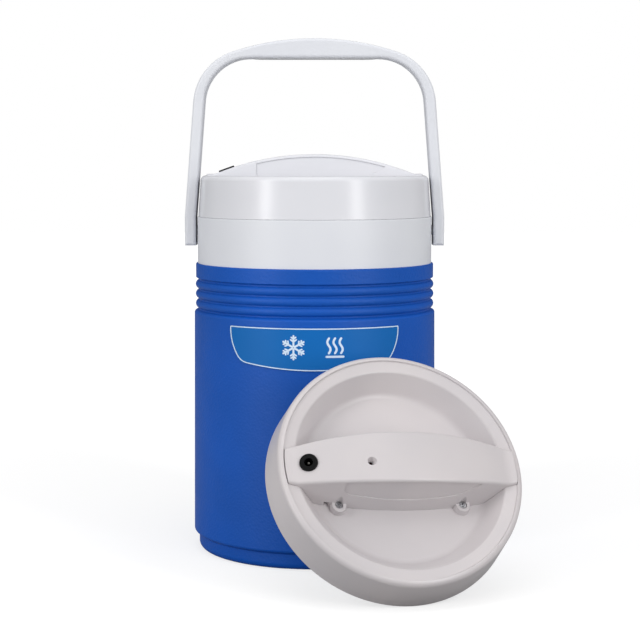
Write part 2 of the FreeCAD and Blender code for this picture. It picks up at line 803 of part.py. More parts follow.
# ---------------------------------------------------------------- cooler: the bail
def bail_handle():
    """The carrying bail: two flat arms and a crowned grip, on pins through its feet."""
    body = new_body("Bail")
    arch = outline(body, "BailArch", "XZ_Plane", [
        ("bail_outer", "bail_low"),
        ("bail_outer", "bail_bend"),
        ("bail_shoulder_x", "bail_shoulder", "bail_crown"),
        ("-bail_shoulder_x", "bail_shoulder"),
        ("-bail_outer", "bail_bend"),
        ("-bail_outer", "bail_low"),
    ])
    pad(body, arch, "bail_width", middle=True)
    round_edges(body, upright_edges(body, "bail_shoulder"), "bail_outer_round", "BailOuterRound")
    side_x = "(grip_corner_x + grip_corner_reach * sin(bail_lean))"
    side_z = "grip_underside - grip_corner_reach * cos(bail_lean)"
    flat_x = "(grip_corner_x - grip_corner_reach)"
    gap = outline(body, "BailGap", "XZ_Plane", [
        ("bail_inner", "bail_low - past"),
        ("bail_inner", "bail_bend"),
        (side_x, side_z, "grip_corner_bow"),
        (flat_x, "grip_underside"),
        ("-" + flat_x, "grip_underside", "grip_corner_bow"),
        ("-" + side_x, side_z),
        ("-bail_inner", "bail_bend"),
        ("-bail_inner", "bail_low - past"),
    ])
    pocket = body.newObject("PartDesign::Pocket", "BailGapCut")
    pocket.Profile = gap
    pocket.Midplane = True
    bind(pocket, Length="2 * bail_width")
    doc.recompute()
    half = size("bail_width") / 2
    rims = [
        "Edge%d" % number for number, edge in enumerate(body.Tip.Shape.Edges, start=1)
        if edge.BoundBox.YLength < TINY and abs(abs(edge.BoundBox.YMin) - half) < TINY]
    round_edges(body, rims, "bail_edge", "BailEdges")
    tools = [grip_blank("GripPocket", "grip_underside - past", "grip_thick + past - grip_proud", "0")]
    for side, start, sink in (("Left", "-bail_outer - past", "-bail_outer - past"),
                              ("Right", "bail_inner - past", "bail_outer - pin_head_thick - pin_head_gap")):
        tools.append(cylinder(side + "ArmHole", "pin_radius + pin_fit", "bail_thick + 2 * past",
                              (start, "0", "pivot_height"), "X"))
        tools.append(cylinder(side + "HeadSink", "pin_head_radius + pin_head_gap",
                              "pin_head_thick + pin_head_gap + past", (sink, "0", "pivot_height"), "X"))
    subpart(cut("BailBored", body, tools), "bail_handle")


def grip_blank(name, low, height, shrink):
    """A block with round ends along the grip, less shrink on every side."""
    width = "(grip_width - 2 * %s)" % shrink
    length = "(grip_length - 2 * %s)" % shrink
    straight = "(%s - %s)" % (length, width)
    middle = box(name + "Middle", ("-%s / 2" % straight, "-%s / 2" % width, low), (straight, width, height))
    ends = []
    for end, sign in (("LeftEnd", "-"), ("RightEnd", "")):
        ends.append(cylinder(name + end, "%s / 2" % width, height, ("%s%s / 2" % (sign, straight), "0", low)))
    return fuse(name, [middle, *ends])


def bail_grip():
    """The smooth strip let into the underside of the grip."""
    strip = grip_blank("GripStrip", "grip_underside - grip_proud", "grip_thick", "grip_play")
    subpart(strip, "bail_grip_insert")


def bail_pins():
    """Two flush-headed pins, pressed into the collar, that the bail turns on."""
    for side, sign in (("left", -1), ("right", 1)):
        body = turned(side.title() + "Pin", [
            ("0", "0"),
            ("pin_radius", "0"),
            ("pin_radius", "pin_length - pin_head_thick"),
            ("pin_head_radius", "pin_length - pin_head_thick"),
            ("pin_head_radius", "pin_length"),
            ("0", "pin_length"),
        ])
        start = Vector(sign * size("boss_start"), 0, size("pivot_height"))
        subpart(body, "bail_pin_" + side, Placement(start, Rotation(Y_AXIS, 90 * sign)))


# ---------------------------------------------------------------- cooler: the outlet
def outlet_body():
    """The hose outlet: a barrel through the wall, with the slot that its latch rides in."""
    centre = "outlet_height"
    solid = fuse("OutletSolid", [
        cylinder("OutletShank", "outlet_shank_radius", "outlet_pad_reach - outlet_inner_end",
                 ("0", "outlet_inner_end", centre), "Y"),
        cylinder("OutletFlange", "outlet_flange_radius", "outlet_flange_thick",
                 ("0", "outlet_pad_reach", centre), "Y"),
        cylinder("OutletBarrel", "outlet_barrel_radius", "outlet_barrel_length",
                 ("0", "outlet_barrel_start", centre), "Y"),
        box("LatchHousing",
            ("-latch_slot_half - latch_wall", "latch_y - latch_slack - latch_wall", "outlet_low"),
            ("2 * (latch_slot_half + latch_wall)", "latch_thick + 2 * (latch_slack + latch_wall)",
             "2 * outlet_barrel_radius")),
    ])
    tools = [
        box("LatchSlot", ("-latch_slot_half", "latch_y - latch_slack", "spring_foot"),
            ("2 * latch_slot_half", "latch_thick + 2 * latch_slack", "2 * outlet_barrel_radius")),
        cylinder("SpringPocket", "spring_radius + spring_wire / 2 + latch_slack", "spring_height",
                 ("0", "latch_middle", "spring_foot")),
        cylinder("Socket", "socket_radius", "socket_depth + past",
                 ("0", "outlet_mouth - socket_depth", centre), "Y"),
        cylinder("Passage", "outlet_passage_radius", "outlet_mouth - outlet_inner_end",
                 ("0", "outlet_inner_end - past", centre), "Y"),
    ]
    subpart(cut("OutletBody", solid, tools), "outlet_body")


def outlet_fixings():
    """The outlet's seal, shaped to the liner's wall, and the nut that holds it."""
    centre = "outlet_height"
    bore = "outlet_shank_radius + nut_play"
    disc = cylinder("SealDisc", "outlet_nut_width / 2", "outlet_seal_thick + outlet_seal_crown + past",
                    ("0", "seal_face", centre), "Y")
    hole = cylinder("SealHole", bore, "outlet_inner_reach", ("0", "seal_face - past", centre), "Y")
    inside = cylinder("LinerInside", "liner_radius", "liner_radius", ("0", "0", "liner_floor"))
    subpart(common("OutletSeal", [cut("SealRing", disc, [hole]), inside]), "outlet_seal")
    start = "seal_face - outlet_nut_thick"
    blank = hexagon("NutBlank", "outlet_nut_width", "outlet_nut_thick", ("0", start, centre), "Y")
    bored = cylinder("NutBore", bore, "outlet_nut_thick + 2 * past", ("0", start + " - past", centre), "Y")
    subpart(cut("NutBored", blank, [bored]), "outlet_nut")


def outlet_latch():
    """The sliding thumb latch: a plate with a window for the hose plug, and its pad."""
    plate = box("LatchPlate", ("-latch_half_width", "latch_y", "latch_low"),
                ("2 * latch_half_width", "latch_thick", "latch_top - latch_low"))
    thumb = box("LatchThumb", ("-latch_half_width", "latch_middle - latch_pad_length / 2", "latch_top"),
                ("2 * latch_half_width", "latch_pad_length", "latch_pad_thick"))
    levels = (("Low", "outlet_height"), ("High", "outlet_height + latch_travel"))
    window = [cylinder("Window" + word, "socket_radius + latch_slack", "latch_thick + 2 * past",
                       ("0", "latch_y - past", level), "Y") for word, level in levels]
    subpart(cut("LatchCut", fuse("LatchSolid", [plate, thumb]), window), "outlet_latch")


def latch_spring():
    """The coil under the latch."""
    height = size("spring_height - 2 * spring_seat")
    path = Part.makeHelix(height / size("spring_turns"), height, size("spring_radius"))
    circle = Part.Circle(Vector(size("spring_radius"), 0, 0), Y_AXIS, size("spring_wire") / 2)
    spring = doc.addObject("Part::Feature", "LatchSpring")
    spring.Shape = Part.Wire(path).makePipeShell([Part.Wire(circle.toShape())], True, True)
    foot = Vector(0, size("latch_middle"), size("spring_foot + spring_seat"))
    subpart(spring, "latch_spring", Placement(foot, Rotation()))


# ---------------------------------------------------------------- the lids
def bowl_side(height):
    """Radius of the bowl's underside at a height, as an expression."""
    return "(bowl_floor_radius + bowl_slope * (%s + lid_wall - bowl_floor) + lid_wall)" % height


def screw_places():
    return [(along, across) for along in (-1, 1) for across in (-1, 1)]


def signed(sign, expression):
    return ("-" if sign < 0 else "") + "(" + expression + ")"


class Lid:
    """One lid: its sub-parts, named with a prefix and set in one place."""

    def __init__(self, prefix, place):
        self.prefix = prefix
        self.place = place
        self.tag = prefix.title().replace("_", "")

    def name(self, word):
        return self.tag + word

    def put(self, obj, label, local=None):
        """Name a sub-part and set it, from its own frame within the lid."""
        place = self.place if local is None else self.place.multiply(local)
        subpart(obj, self.prefix + label, place)

    def build(self):
        self.shell()
        self.liner()
        self.foam()
        self.gasket()
        self.bar()
        self.screws()
        self.jack()
        self.motor()
        self.pump_head()
        self.diaphragm()
        self.crank()
        self.board()
        self.nozzle()
        self.air_tube()
        self.wires()

    def at_screws(self, make):
        """What make gives for each screw, from its name's ending and its place."""
        made = []
        for number, (along, across) in enumerate(screw_places()):
            made.append(make(number, signed(along, "screw_x"), signed(across, "screw_y"), across))
        return made

    def shell(self):
        """The moulded cover: skirt, rim, stepped land and bowl, with lugs and bosses."""
        body = turned(self.name("Shell"), [
            ("lid_radius - lid_wall", "0"),
            ("lid_radius", "0"),
            ("lid_top_radius", "lid_height"),
            ("step_radius + step_slant", "lid_height"),
            ("step_radius", "land_outer"),
            ("bowl_radius", "land_inner"),
            ("bowl_floor_radius", "bowl_floor"),
            ("0", "bowl_floor"),
            ("0", "floor_underside"),
            ("bowl_floor_radius + lid_wall", "floor_underside"),
            ("bowl_radius + lid_wall", "rim_underside"),
            ("lid_top_radius - lid_wall", "rim_underside"),
        ])
        tag = self.name("Shell")
        round_ring(body, "lid_top_radius", "lid_height", "rim_round", tag + "RimRound")
        round_ring(body, "lid_radius", "0", "skirt_edge", tag + "SkirtEdge")
        round_ring(body, "bowl_floor_radius", "bowl_floor", "bowl_round", tag + "BowlRound")
        round_ring(body, "bowl_radius", "land_inner", "land_round", tag + "LandRound")
        lug = outline(body, self.name("Lug"), "XZ_Plane", [
            ("lug_radius", "lid_lug_top - lug_thick"),
            ("lid_radius - lid_wall + bite", "lid_lug_top - lug_thick"),
            ("lid_radius - lid_wall + bite", "lid_lug_top"),
            ("lug_radius", "lid_lug_top"),
        ])
        lugs = around(body, revolve(body, lug, angle="lug_span", middle=True), lug)
        lugs.Placement = Placement(Vector(0, 0, 0), Rotation(Z_AXIS, 180 / LUGS))
        bosses = self.at_screws(lambda number, x, y, across: cylinder(
            self.name("Boss%d" % number), "boss_radius", "boss_depth + lid_wall / 2",
            (x, y, "floor_underside - boss_depth")))
        holes = self.at_screws(lambda number, x, y, across: cylinder(
            self.name("BossHole%d" % number), "screw_radius + screw_play", "screw_length + screw_tip_gap",
            (x, y, "screw_seat - screw_length - screw_tip_gap")))
        rails = []
        for number, side in enumerate((-1, 1)):
            rail_y = "%d * (board_width - rail_width) / 2 - rail_width / 2" % side
            rails.append(box(self.name("Rail%d" % number), ("board_x", rail_y, "bowl_floor - bite"),
                             ("board_length", "rail_width", "rail_height + bite")))
        holes.append(cylinder(self.name("NozzleHole"), "nozzle_radius + nozzle_fit", "lid_wall + 2 * past",
                              ("nozzle_x", "0", "floor_underside - past")))
        solid = fuse(self.name("ShellSolid"), [lugs, *bosses, *rails])
        self.put(cut(self.name("ShellBored"), solid, holes), "lid_shell")

    def liner(self):
        """The plug that fits down inside the neck and seals the foam in."""
        body = turned(self.name("Liner"), [
            ("0", "-plug_depth"),
            ("plug_radius", "-plug_depth"),
            ("plug_radius", "gasket_top"),
            ("step_radius", "gasket_top"),
            ("step_radius", "rim_underside"),
            ("plug_bore", "rim_underside"),
            ("plug_bore", "plug_wall - plug_depth"),
            ("0", "plug_wall - plug_depth"),
        ])
        round_ring(body, "plug_radius", "-plug_depth", "plug_round", self.name("PlugRound"))
        hole = cylinder(self.name("LinerHole"), "nozzle_radius + nozzle_fit", "plug_wall + 2 * past",
                        ("nozzle_x", "0", "-plug_depth - past"))
        self.put(cut(self.name("LinerBored"), body, [hole]), "lid_liner")

    def foam(self):
        """The foam disc between the bowl and the plug."""
        corner = "(floor_underside - foam_gap)"
        shoulder = "(gasket_top - foam_gap)"
        body = turned(self.name("Foam"), [
            ("0", "plug_wall - plug_depth + foam_gap"),
            ("plug_bore - 2 * foam_gap", "plug_wall - plug_depth + foam_gap"),
            ("plug_bore - 2 * foam_gap", shoulder),
            (bowl_side(shoulder), shoulder),
            (bowl_side(corner), corner),
            ("0", corner),
        ])
        holes = self.at_screws(lambda number, x, y, across: cylinder(
            self.name("FoamPocket%d" % number), "boss_radius + foam_gap", "boss_depth + foam_gap + past",
            (x, y, "floor_underside - boss_depth - foam_gap")))
        holes.append(cylinder(self.name("FoamHole"), "nozzle_radius + 2 * nozzle_fit",
                              "lid_height + plug_depth", ("nozzle_x", "0", "-plug_depth")))
        self.put(cut(self.name("FoamBored"), body, holes), "lid_foam")

    def gasket(self):
        """The flat rubber ring that closes on the neck."""
        body = turned(self.name("Gasket"), [
            ("plug_radius + gasket_gap", "gasket_top - gasket_thick"),
            ("neck_radius + gasket_gap", "gasket_top - gasket_thick"),
            ("neck_radius + gasket_gap", "gasket_top"),
            ("plug_radius + gasket_gap", "gasket_top"),
        ])
        self.put(body, "lid_gasket")

    def bar_blank(self, word, shrink, reach):
        """The bar's outside, or its hollow when shrunk, over a flared plan.

        From the side it is an arch that bends into a flat tail at each end.
        """
        solid = shrink == "0"
        foot = "bowl_floor" if solid else "bowl_floor - past"
        spring = "bar_top - bar_bow - %s" % shrink
        share = "((bar_arch_radius - %s) / bend_reach)" % shrink
        arch_x = "bend_x * " + share
        fall = "bar_bow * " + share
        level = "bar_top - %s - %s" % (shrink, fall)
        sag = "-(bar_bend + %s) * bend_sag" % shrink
        arch = new_body(self.name(word + "Arch"))
        side = outline(arch, self.name(word + "ArchSide"), "XZ_Plane", [
            ("-bar_reach", foot),
            ("bar_reach", foot),
            ("bar_reach", spring),
            ("bend_x", spring, sag),
            (arch_x, level, fall),
            ("-" + arch_x, level, sag),
            ("-bend_x", spring),
            ("-bar_reach", spring),
        ])
        pad(arch, side, "4 * bar_half_width", middle=True)
        plan = new_body(self.name(word + "Plan"))
        loft = plan.newObject("PartDesign::AdditiveLoft", self.name(word + "Flare"))
        sections = []
        for level, lift, flare in (("Top", "bar_top", "0"), ("Foot", "bowl_floor - past", "bar_flare")):
            half = "(bar_end_half_width - %s + %s)" % (shrink, flare)
            bow = "bar_half_width - bar_end_half_width"
            sections.append(outline(plan, self.name(word + level), "XY_Plane", [
                ("-bar_reach", "-" + half, bow),
                ("bar_reach", "-" + half),
                ("bar_reach", half, bow),
                ("-bar_reach", half),
            ], lift))
        loft.Profile = sections[0]
        loft.Sections = sections[1:]
        loft.Ruled = True
        doc.recompute()
        form = common(self.name(word + "Form"), [arch, plan])
        if solid:
            form = self.soften(form)
        return common(self.name(word), [form, reach])

    def bowl_space(self):
        """The room over the bowl and its land that the bar stands in."""
        space = turned(self.name("BowlSpace"), [
            ("0", "bowl_floor"),
            ("bowl_floor_radius", "bowl_floor"),
            ("bowl_radius", "land_inner"),
            ("bar_reach", "land_outer"),
            ("bar_reach", "bar_top + past"),
            ("0", "bar_top + past"),
        ])
        round_ring(space, "bowl_floor_radius", "bowl_floor", "bowl_round", self.name("BowlSpaceRound"))
        return space

    def bar(self):
        """The carrying bar's cover, hollow, standing on the bowl and its land."""
        space = self.bowl_space()
        blank = self.bar_blank("Bar", "0", space)
        hollow_reach = cylinder(self.name("BarHollowReach"), "bar_reach - bar_wall", "2 * bar_top",
                                ("0", "0", "0"))
        hollow = self.bar_blank("BarHollow", "bar_wall", hollow_reach)
        ears = fuse(self.name("Ears"), self.at_screws(lambda number, x, y, across: cone(
            self.name("Ear%d" % number), "ear_radius", "ear_radius - ear_draft", "ear_height",
            (x, y, "bowl_floor"))))
        tools = self.at_screws(lambda number, x, y, across: cylinder(
            self.name("EarSink%d" % number), "screw_head_radius + head_play", "bar_top",
            (x, y, "screw_seat")))
        tools += self.at_screws(lambda number, x, y, across: cylinder(
            self.name("EarHole%d" % number), "screw_radius + shank_play", "ear_floor + 2 * past",
            (x, y, "bowl_floor - past")))
        tools += self.at_screws(lambda number, x, y, across: cylinder(
            self.name("EarNotch%d" % number), "notch_radius", "ear_height",
            (x + " - notch_x", "%s - %d * notch_y" % (y, across), "bowl_floor - past")))
        tools.append(cone(self.name("Vent"), "vent_throat", "vent_radius + vent_grow", "vent_depth + past",
                          ("-vent_x", "-vent_y", "vent_low")))
        tools.append(self.scoop(space))
        hole = cylinder(self.name("JackHole"), "jack_radius + jack_play", "2 * jack_hole_reach")
        sink = Vector(0, 0, -size("jack_hole_reach"))
        hole.Placement = self.jack_place().multiply(Placement(sink, Rotation()))
        tools.append(hole)
        walls = cut(self.name("BarWalls"), blank, [hollow])
        seated = common(self.name("EarsSeated"), [ears, space])
        boss = cylinder(self.name("VentBoss"), "vent_radius + vent_wall", "vent_depth - bar_wall / 2",
                        ("-vent_x", "-vent_y", "vent_low"))
        body = fuse(self.name("BarEared"), [walls, seated, boss])
        self.put(cut(self.name("BarBored"), body, tools), "lid_bar")

    def soften(self, blank):
        """The bar's outside with its upper edges rounded along both sides."""
        rounded = doc.addObject("Part::Fillet", self.name("BarRounded"))
        rounded.Base = blank
        radius, rim = size("bar_edge"), size("lid_height")
        rounded.Edges = [
            (number, radius, radius) for number, edge in enumerate(blank.Shape.Edges, start=1)
            if edge.BoundBox.XLength > radius and edge.BoundBox.ZMin > rim]
        doc.recompute()
        return rounded

    def scoop(self, reach):
        """The shallow finger hollow along the bar's front flank, as a cutting shape."""
        face = new_body(self.name("ScoopFace"))
        pad(face, outline(face, self.name("ScoopOutline"), "XZ_Plane", [
            ("-scoop_left", "scoop_foot + scoop_left_round", "scoop_left_round * (1 - cos(45))"),
            ("-scoop_left + scoop_left_round", "scoop_foot", "scoop_belly"),
            ("scoop_right - scoop_right_run", "scoop_foot"),
            ("scoop_right", "scoop_right_top", "scoop_crown"),
            ("-scoop_left", "scoop_left_top"),
        ]), "2 * bar_half_width")
        return cut(self.name("Scoop"), face, [self.bar_blank("ScoopCore", "scoop_depth", reach)])

    def jack_place(self):
        """Frame of the power socket: on the bar's top, square to its arch."""
        arch = size("bar_arch_radius")
        tilt = math.degrees(math.asin(size("jack_x") / arch))
        height = size("bar_top") - arch * (1 - math.cos(math.radians(tilt)))
        return Placement(Vector(-size("jack_x"), 0, height), Rotation(Y_AXIS, -tilt))

    def screw(self, number, x, y):
        """One cross-head screw."""
        tag = self.name("Screw%d" % number)
        solid = fuse(tag + "Solid", [
            cylinder(tag + "Head", "screw_head_radius", "screw_head_thick", (x, y, "screw_seat")),
            cylinder(tag + "Shank", "screw_radius", "screw_length", (x, y, "screw_seat - screw_length")),
        ])
        slots = []
        cross = (("X", ("screw_slot_length", "screw_slot")), ("Y", ("screw_slot", "screw_slot_length")))
        for way, sides in cross:
            low = ("%s - %s / 2" % (x, sides[0]), "%s - %s / 2" % (y, sides[1]),
                   "screw_seat + screw_head_thick - screw_slot_depth")
            slots.append(box(tag + "Slot" + way, low, (*sides, "screw_slot_depth + past")))
        return cut(tag, solid, slots)

    def screws(self):
        """The four screws that hold the bar down, as one group."""
        screws = doc.addObject("Part::Compound", self.name("Screws"))
        screws.Links = self.at_screws(lambda number, x, y, across: self.screw(number, x, y))
        doc.recompute()
        self.put(screws, "bar_screws")

    def jack(self):
        """The power socket: a flanged sleeve in the bar with a pin up its middle."""
        root = "jack_pin_radius - jack_pin_taper"
        body = turned(self.name("Jack"), [
            ("0", "-jack_depth"),
            ("jack_body_radius", "-jack_depth"),
            ("jack_body_radius", "jack_proud - jack_flange"),
            ("jack_radius", "jack_proud - jack_flange"),
            ("jack_radius", "jack_proud"),
            ("jack_bore", "jack_proud"),
            ("jack_bore", "jack_floor"),
            (root, "jack_floor"),
            (root, "jack_floor - jack_pin_root"),
            ("0", "jack_floor - jack_pin_root"),
        ])
        self.put(body, "power_jack", self.jack_place())
        tip = "jack_floor + jack_pin_length"
        pin = turned(self.name("JackPin"), [
            ("0", "jack_floor - jack_pin_root"),
            (root, "jack_floor - jack_pin_root"),
            (root, "jack_floor"),
            ("jack_pin_radius", "jack_floor"),
            ("jack_pin_radius", tip + " - jack_pin_taper"),
            ("jack_pin_radius - jack_pin_taper", tip),
            ("0", tip),
        ])
        self.put(pin, "jack_pin", self.jack_place())

    def motor_place(self):
        """Frame of the pump's axis: +Z of the frame runs along the lid's +X."""
        return Placement(Vector(size("motor_x"), 0, size("motor_height")), Rotation(Y_AXIS, 90))

    def motor(self):
        """The motor can with its bearing nose, and the cradle that it lies in."""
        body = turned(self.name("Motor"), [
            ("0", "0"),
            ("motor_radius", "0"),
            ("motor_radius", "motor_length"),
            ("motor_nose_radius", "motor_length"),
            ("motor_nose_radius", "motor_length + motor_nose"),
            ("shaft_radius + shaft_fit", "motor_length + motor_nose"),
            ("shaft_radius + shaft_fit", "motor_length - shaft_in_motor"),
            ("0", "motor_length - shaft_in_motor"),
        ])
        self.put(body, "pump_motor", self.motor_place())
        block = box(self.name("CradleBlock"),
                    ("motor_x + (motor_length - cradle_length) / 2", "-cradle_width / 2", "bowl_floor"),
                    ("cradle_length", "cradle_width", "motor_lift + motor_radius / 2"))
        hollow = cylinder(self.name("CradleHollow"), "motor_radius + cradle_gap", "motor_length",
                          ("motor_x", "0", "motor_height"), "X")
        self.put(cut(self.name("Cradle"), block, [hollow]), "motor_cradle")

    def pump_head(self):
        """The pump's block, with the crank chamber, the diaphragm's seat and the air port."""
        block = box(self.name("HeadBlock"), ("head_start", "-head_width / 2", "bowl_floor"),
                    ("head_length", "head_width", "head_top - bowl_floor"))
        port = cylinder(self.name("Port"), "barb_radius", "port_length",
                        ("head_start + head_length", "0", "port_level"), "X")
        tools = [
            cylinder(self.name("Chamber"), "chamber_radius", "chamber_depth + past",
                     ("head_start - past", "0", "motor_height"), "X"),
            cylinder(self.name("DiaphragmSeat"), "diaphragm_radius + diaphragm_play",
                     "diaphragm_thick + past",
                     ("head_start + head_length / 2", "0", "head_top - diaphragm_thick")),
            cylinder(self.name("PortBore"), "port_bore", "port_depth + port_length + past",
                     ("head_start + head_length - port_depth", "0", "port_level"), "X"),
        ]
        solid = fuse(self.name("HeadSolid"), [block, port])
        self.put(cut(self.name("HeadBored"), solid, tools), "pump_head")

    def diaphragm(self):
        """The rubber disc on the pump's block, with the fold that lets it flex."""
        fold = "diaphragm_radius - diaphragm_rim"
        disc = turned(self.name("Diaphragm"), [
            ("0", "0"),
            ("diaphragm_radius", "0"),
            ("diaphragm_radius", "diaphragm_thick"),
            (fold, "diaphragm_thick"),
            (fold + " - diaphragm_slope", "diaphragm_thick / 2"),
            (fold + " - diaphragm_slope - diaphragm_groove", "diaphragm_thick / 2"),
            (fold + " - 2 * diaphragm_slope - diaphragm_groove", "diaphragm_thick"),
            ("0", "diaphragm_thick"),
        ])
        seat = Vector(size("head_start + head_length / 2"), 0, size("head_top - diaphragm_thick"))
        self.put(disc, "pump_diaphragm", Placement(seat, Rotation()))

    def crank(self):
        """The shaft and the crank disc set off its axis, which spin together."""
        solid = fuse(self.name("CrankSolid"), [
            cylinder(self.name("Shaft"), "shaft_radius", "shaft_end - shaft_start",
                     ("0", "0", "shaft_start")),
            cylinder(self.name("CrankDisc"), "crank_radius", "crank_thick",
                     ("crank_offset", "0", "crank_start")),
        ])
        self.put(solid, "pump_crank", self.motor_place())

    def board(self):
        """The control board on its rails, with one chip on it."""
        solid = fuse(self.name("BoardSolid"), [
            box(self.name("Board"), ("board_x", "-board_width / 2 - rail_width / 2", "board_low"),
                ("board_length", "board_width + rail_width", "board_thick")),
            box(self.name("Chip"),
                ("board_x + board_length / 2 - chip_size / 2", "-chip_size / 2", "board_top"),
                ("chip_size", "chip_size", "chip_thick")),
        ])
        self.put(solid, "control_board")

    def nozzle(self):
        """The air nozzle down through the lid, and its nut under the plug."""
        tail = "-plug_depth - nozzle_nut_thick - nozzle_tail"
        body = turned(self.name("Nozzle"), [
            ("nozzle_bore", tail),
            ("nozzle_radius", tail),
            ("nozzle_radius", "bowl_floor"),
            ("nozzle_flange_radius", "bowl_floor"),
            ("nozzle_flange_radius", "nozzle_seat"),
            ("barb_radius", "nozzle_seat"),
            ("barb_radius", "nozzle_seat + barb_length"),
            ("nozzle_bore", "nozzle_seat + barb_length"),
        ])
        across = Placement(Vector(size("nozzle_x"), 0, 0), Rotation())
        self.put(body, "air_nozzle", across)
        low = "-plug_depth - nozzle_nut_thick"
        blank = hexagon(self.name("NozzleNutBlank"), "nozzle_nut_width", "nozzle_nut_thick", ("0", "0", low))
        bore = cylinder(self.name("NozzleNutBore"), "nozzle_radius + nut_play", "nozzle_nut_thick + 2 * past",
                        ("0", "0", low + " - past"))
        self.put(cut(self.name("NozzleNutBored"), blank, [bore]), "nozzle_nut", across)

    def pipe(self, word, corners, bend, radius, bore=0.0):
        """A round tube along straight runs joined by arcs of one bend radius."""
        edges = []
        start = corners[0]
        for before, corner, after in zip(corners, corners[1:], corners[2:]):
            way_in = (corner - before).normalize()
            way_out = (after - corner).normalize()
            turn = way_in.getAngle(way_out)
            reach = bend * math.tan(turn / 2)
            first, last = corner - way_in * reach, corner + way_out * reach
            inward = (way_out - way_in).normalize()
            middle = corner + inward * (bend / math.cos(turn / 2) - bend)
            edges.append(Part.makeLine(start, first))
            edges.append(Part.Arc(first, middle, last).toShape())
            start = last
        edges.append(Part.makeLine(start, corners[-1]))
        path = Part.Wire(edges)
        way = (corners[1] - corners[0]).normalize()

        def swept(section_radius):
            section = Part.Wire(Part.Circle(corners[0], way, section_radius).toShape())
            return path.makePipeShell([section], True, False)

        tube = doc.addObject("Part::Feature", self.name(word))
        tube.Shape = swept(radius).cut(swept(bore)) if bore else swept(radius)
        return tube

    def air_tube(self):
        """The silicone tube from the pump's port over to the nozzle."""
        start_x = size("head_start + head_length + tube_gap")
        level = size("port_level")
        corners = [
            Vector(start_x, 0, level),
            Vector(size("nozzle_x"), 0, level),
            Vector(size("nozzle_x"), 0, size("nozzle_seat + tube_gap")),
        ]
        bore = size("barb_radius + tube_play")
        tube = self.pipe("AirTube", corners, size("tube_bend"), size("tube_radius"), bore)
        self.put(tube, "air_tube")

    def wires(self):
        """Two insulated wires from the socket to the board, and two on to the motor."""
        jack = self.jack_place()
        first_pad = size("board_x + wire_inset")
        last_pad = size("board_x + board_length - wire_inset")
        board_top = size("board_top")
        over_motor = size("motor_height + wire_over_motor")
        runs = (("JackWire", "jack_wires", [
            jack.multVec(Vector(0, 0, -size("jack_depth"))),
            jack.multVec(Vector(0, 0, -size("jack_depth + wire_drop"))),
            Vector(first_pad, 0, size("board_top + wire_lift")),
            Vector(first_pad, 0, board_top),
        ]), ("MotorWire", "motor_wires", [
            Vector(last_pad, 0, board_top),
            Vector(last_pad, 0, over_motor),
            Vector(size("motor_x"), 0, over_motor),
        ]))
        for word, label, corners in runs:
            solids = []
            for side in (-1, 1):
                shift = Vector(0, side * size("wire_space") / 2, 0)
                wire = self.pipe("%s%d" % (word, side + 1), [corner + shift for corner in corners],
                                 size("wire_bend"), size("wire_radius"))
                solids.append(wire.Shape)
            pair = doc.addObject("Part::Feature", self.name(word))
            pair.Shape = Part.makeCompound(solids)
            self.put(pair, label)


def leaning_place():
    """Frame of the second lid: skirt edge on the floor, leaning back on the cooler."""
    turn = (Rotation(Z_AXIS, size("lean_heading")).multiply(Rotation(X_AXIS, 90 - size("lean_elevation")))
            .multiply(Rotation(Z_AXIS, size("lean_roll"))))
    radius = size("lid_radius")
    height = radius * math.cos(math.radians(size("lean_elevation")))
    bearing = math.radians(size("lean_bearing"))
    outward = Vector(math.sin(bearing), -math.cos(bearing), 0)
    jug = Part.makeCone(size(body_radius("0")), size(body_radius("2 * %f" % height)), 2 * height)
    centre = outward * (size("base_radius") + radius) + Vector(0, 0, height)
    gap = size("base_radius")
    while gap > size("lean_gap") + TINY:
        edge = Part.Circle(centre, turn.multVec(Z_AXIS), radius).toShape()
        gap = edge.distToShape(jug)[0]
        centre -= outward * (gap - size("lean_gap"))
    return Placement(centre, turn)


outer_shell()
inner_liner()
foam_insulation()
collar()
label_plate()
bail_handle()
bail_grip()
bail_pins()
outlet_body()
outlet_fixings()
outlet_latch()
latch_spring()
Lid("", Placement(Vector(0, 0, size("seat_height")), Rotation())).build()
Lid("spare_", leaning_place()).build()

# ---------------------------------------------------------------- checks and files
doc.recompute()
for obj in doc.Objects:
    faults = [state for state in obj.State if state in ("Invalid", "Error")]
    if faults:
        raise RuntimeError("%s is %s" % (obj.Label, faults))
for obj in SUBPARTS:
    if obj.Shape.isNull() or not obj.Shape.isValid() or not obj.Shape.Solids:
        raise RuntimeError(obj.Label + " has no valid solid")

os.makedirs("parts", exist_ok=True)
for obj in SUBPARTS:
    obj.Shape.exportStep("parts/%s.step" % obj.Label)
    print("%-26s %d solid  %10.1f mm3" % (obj.Label, len(obj.Shape.Solids), obj.Shape.Volume))
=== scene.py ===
"""Looks of the insulated therapy cooler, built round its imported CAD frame."""
import logging
import math
from dataclasses import dataclass, field
from enum import Enum
from typing import Sequence

import bmesh
import bpy
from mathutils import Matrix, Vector


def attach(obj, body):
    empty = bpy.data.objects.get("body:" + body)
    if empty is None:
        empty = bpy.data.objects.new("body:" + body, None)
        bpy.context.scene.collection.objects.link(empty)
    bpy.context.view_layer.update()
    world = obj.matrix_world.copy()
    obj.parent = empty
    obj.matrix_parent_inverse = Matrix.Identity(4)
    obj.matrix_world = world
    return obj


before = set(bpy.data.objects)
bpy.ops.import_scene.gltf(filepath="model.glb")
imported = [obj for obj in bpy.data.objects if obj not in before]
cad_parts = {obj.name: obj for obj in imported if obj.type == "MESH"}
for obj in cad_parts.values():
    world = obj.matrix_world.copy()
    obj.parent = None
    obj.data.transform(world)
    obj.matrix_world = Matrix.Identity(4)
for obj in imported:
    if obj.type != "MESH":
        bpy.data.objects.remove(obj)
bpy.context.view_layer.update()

MM = 0.001
Pair = tuple[float, float]
log = logging.getLogger("cooler")


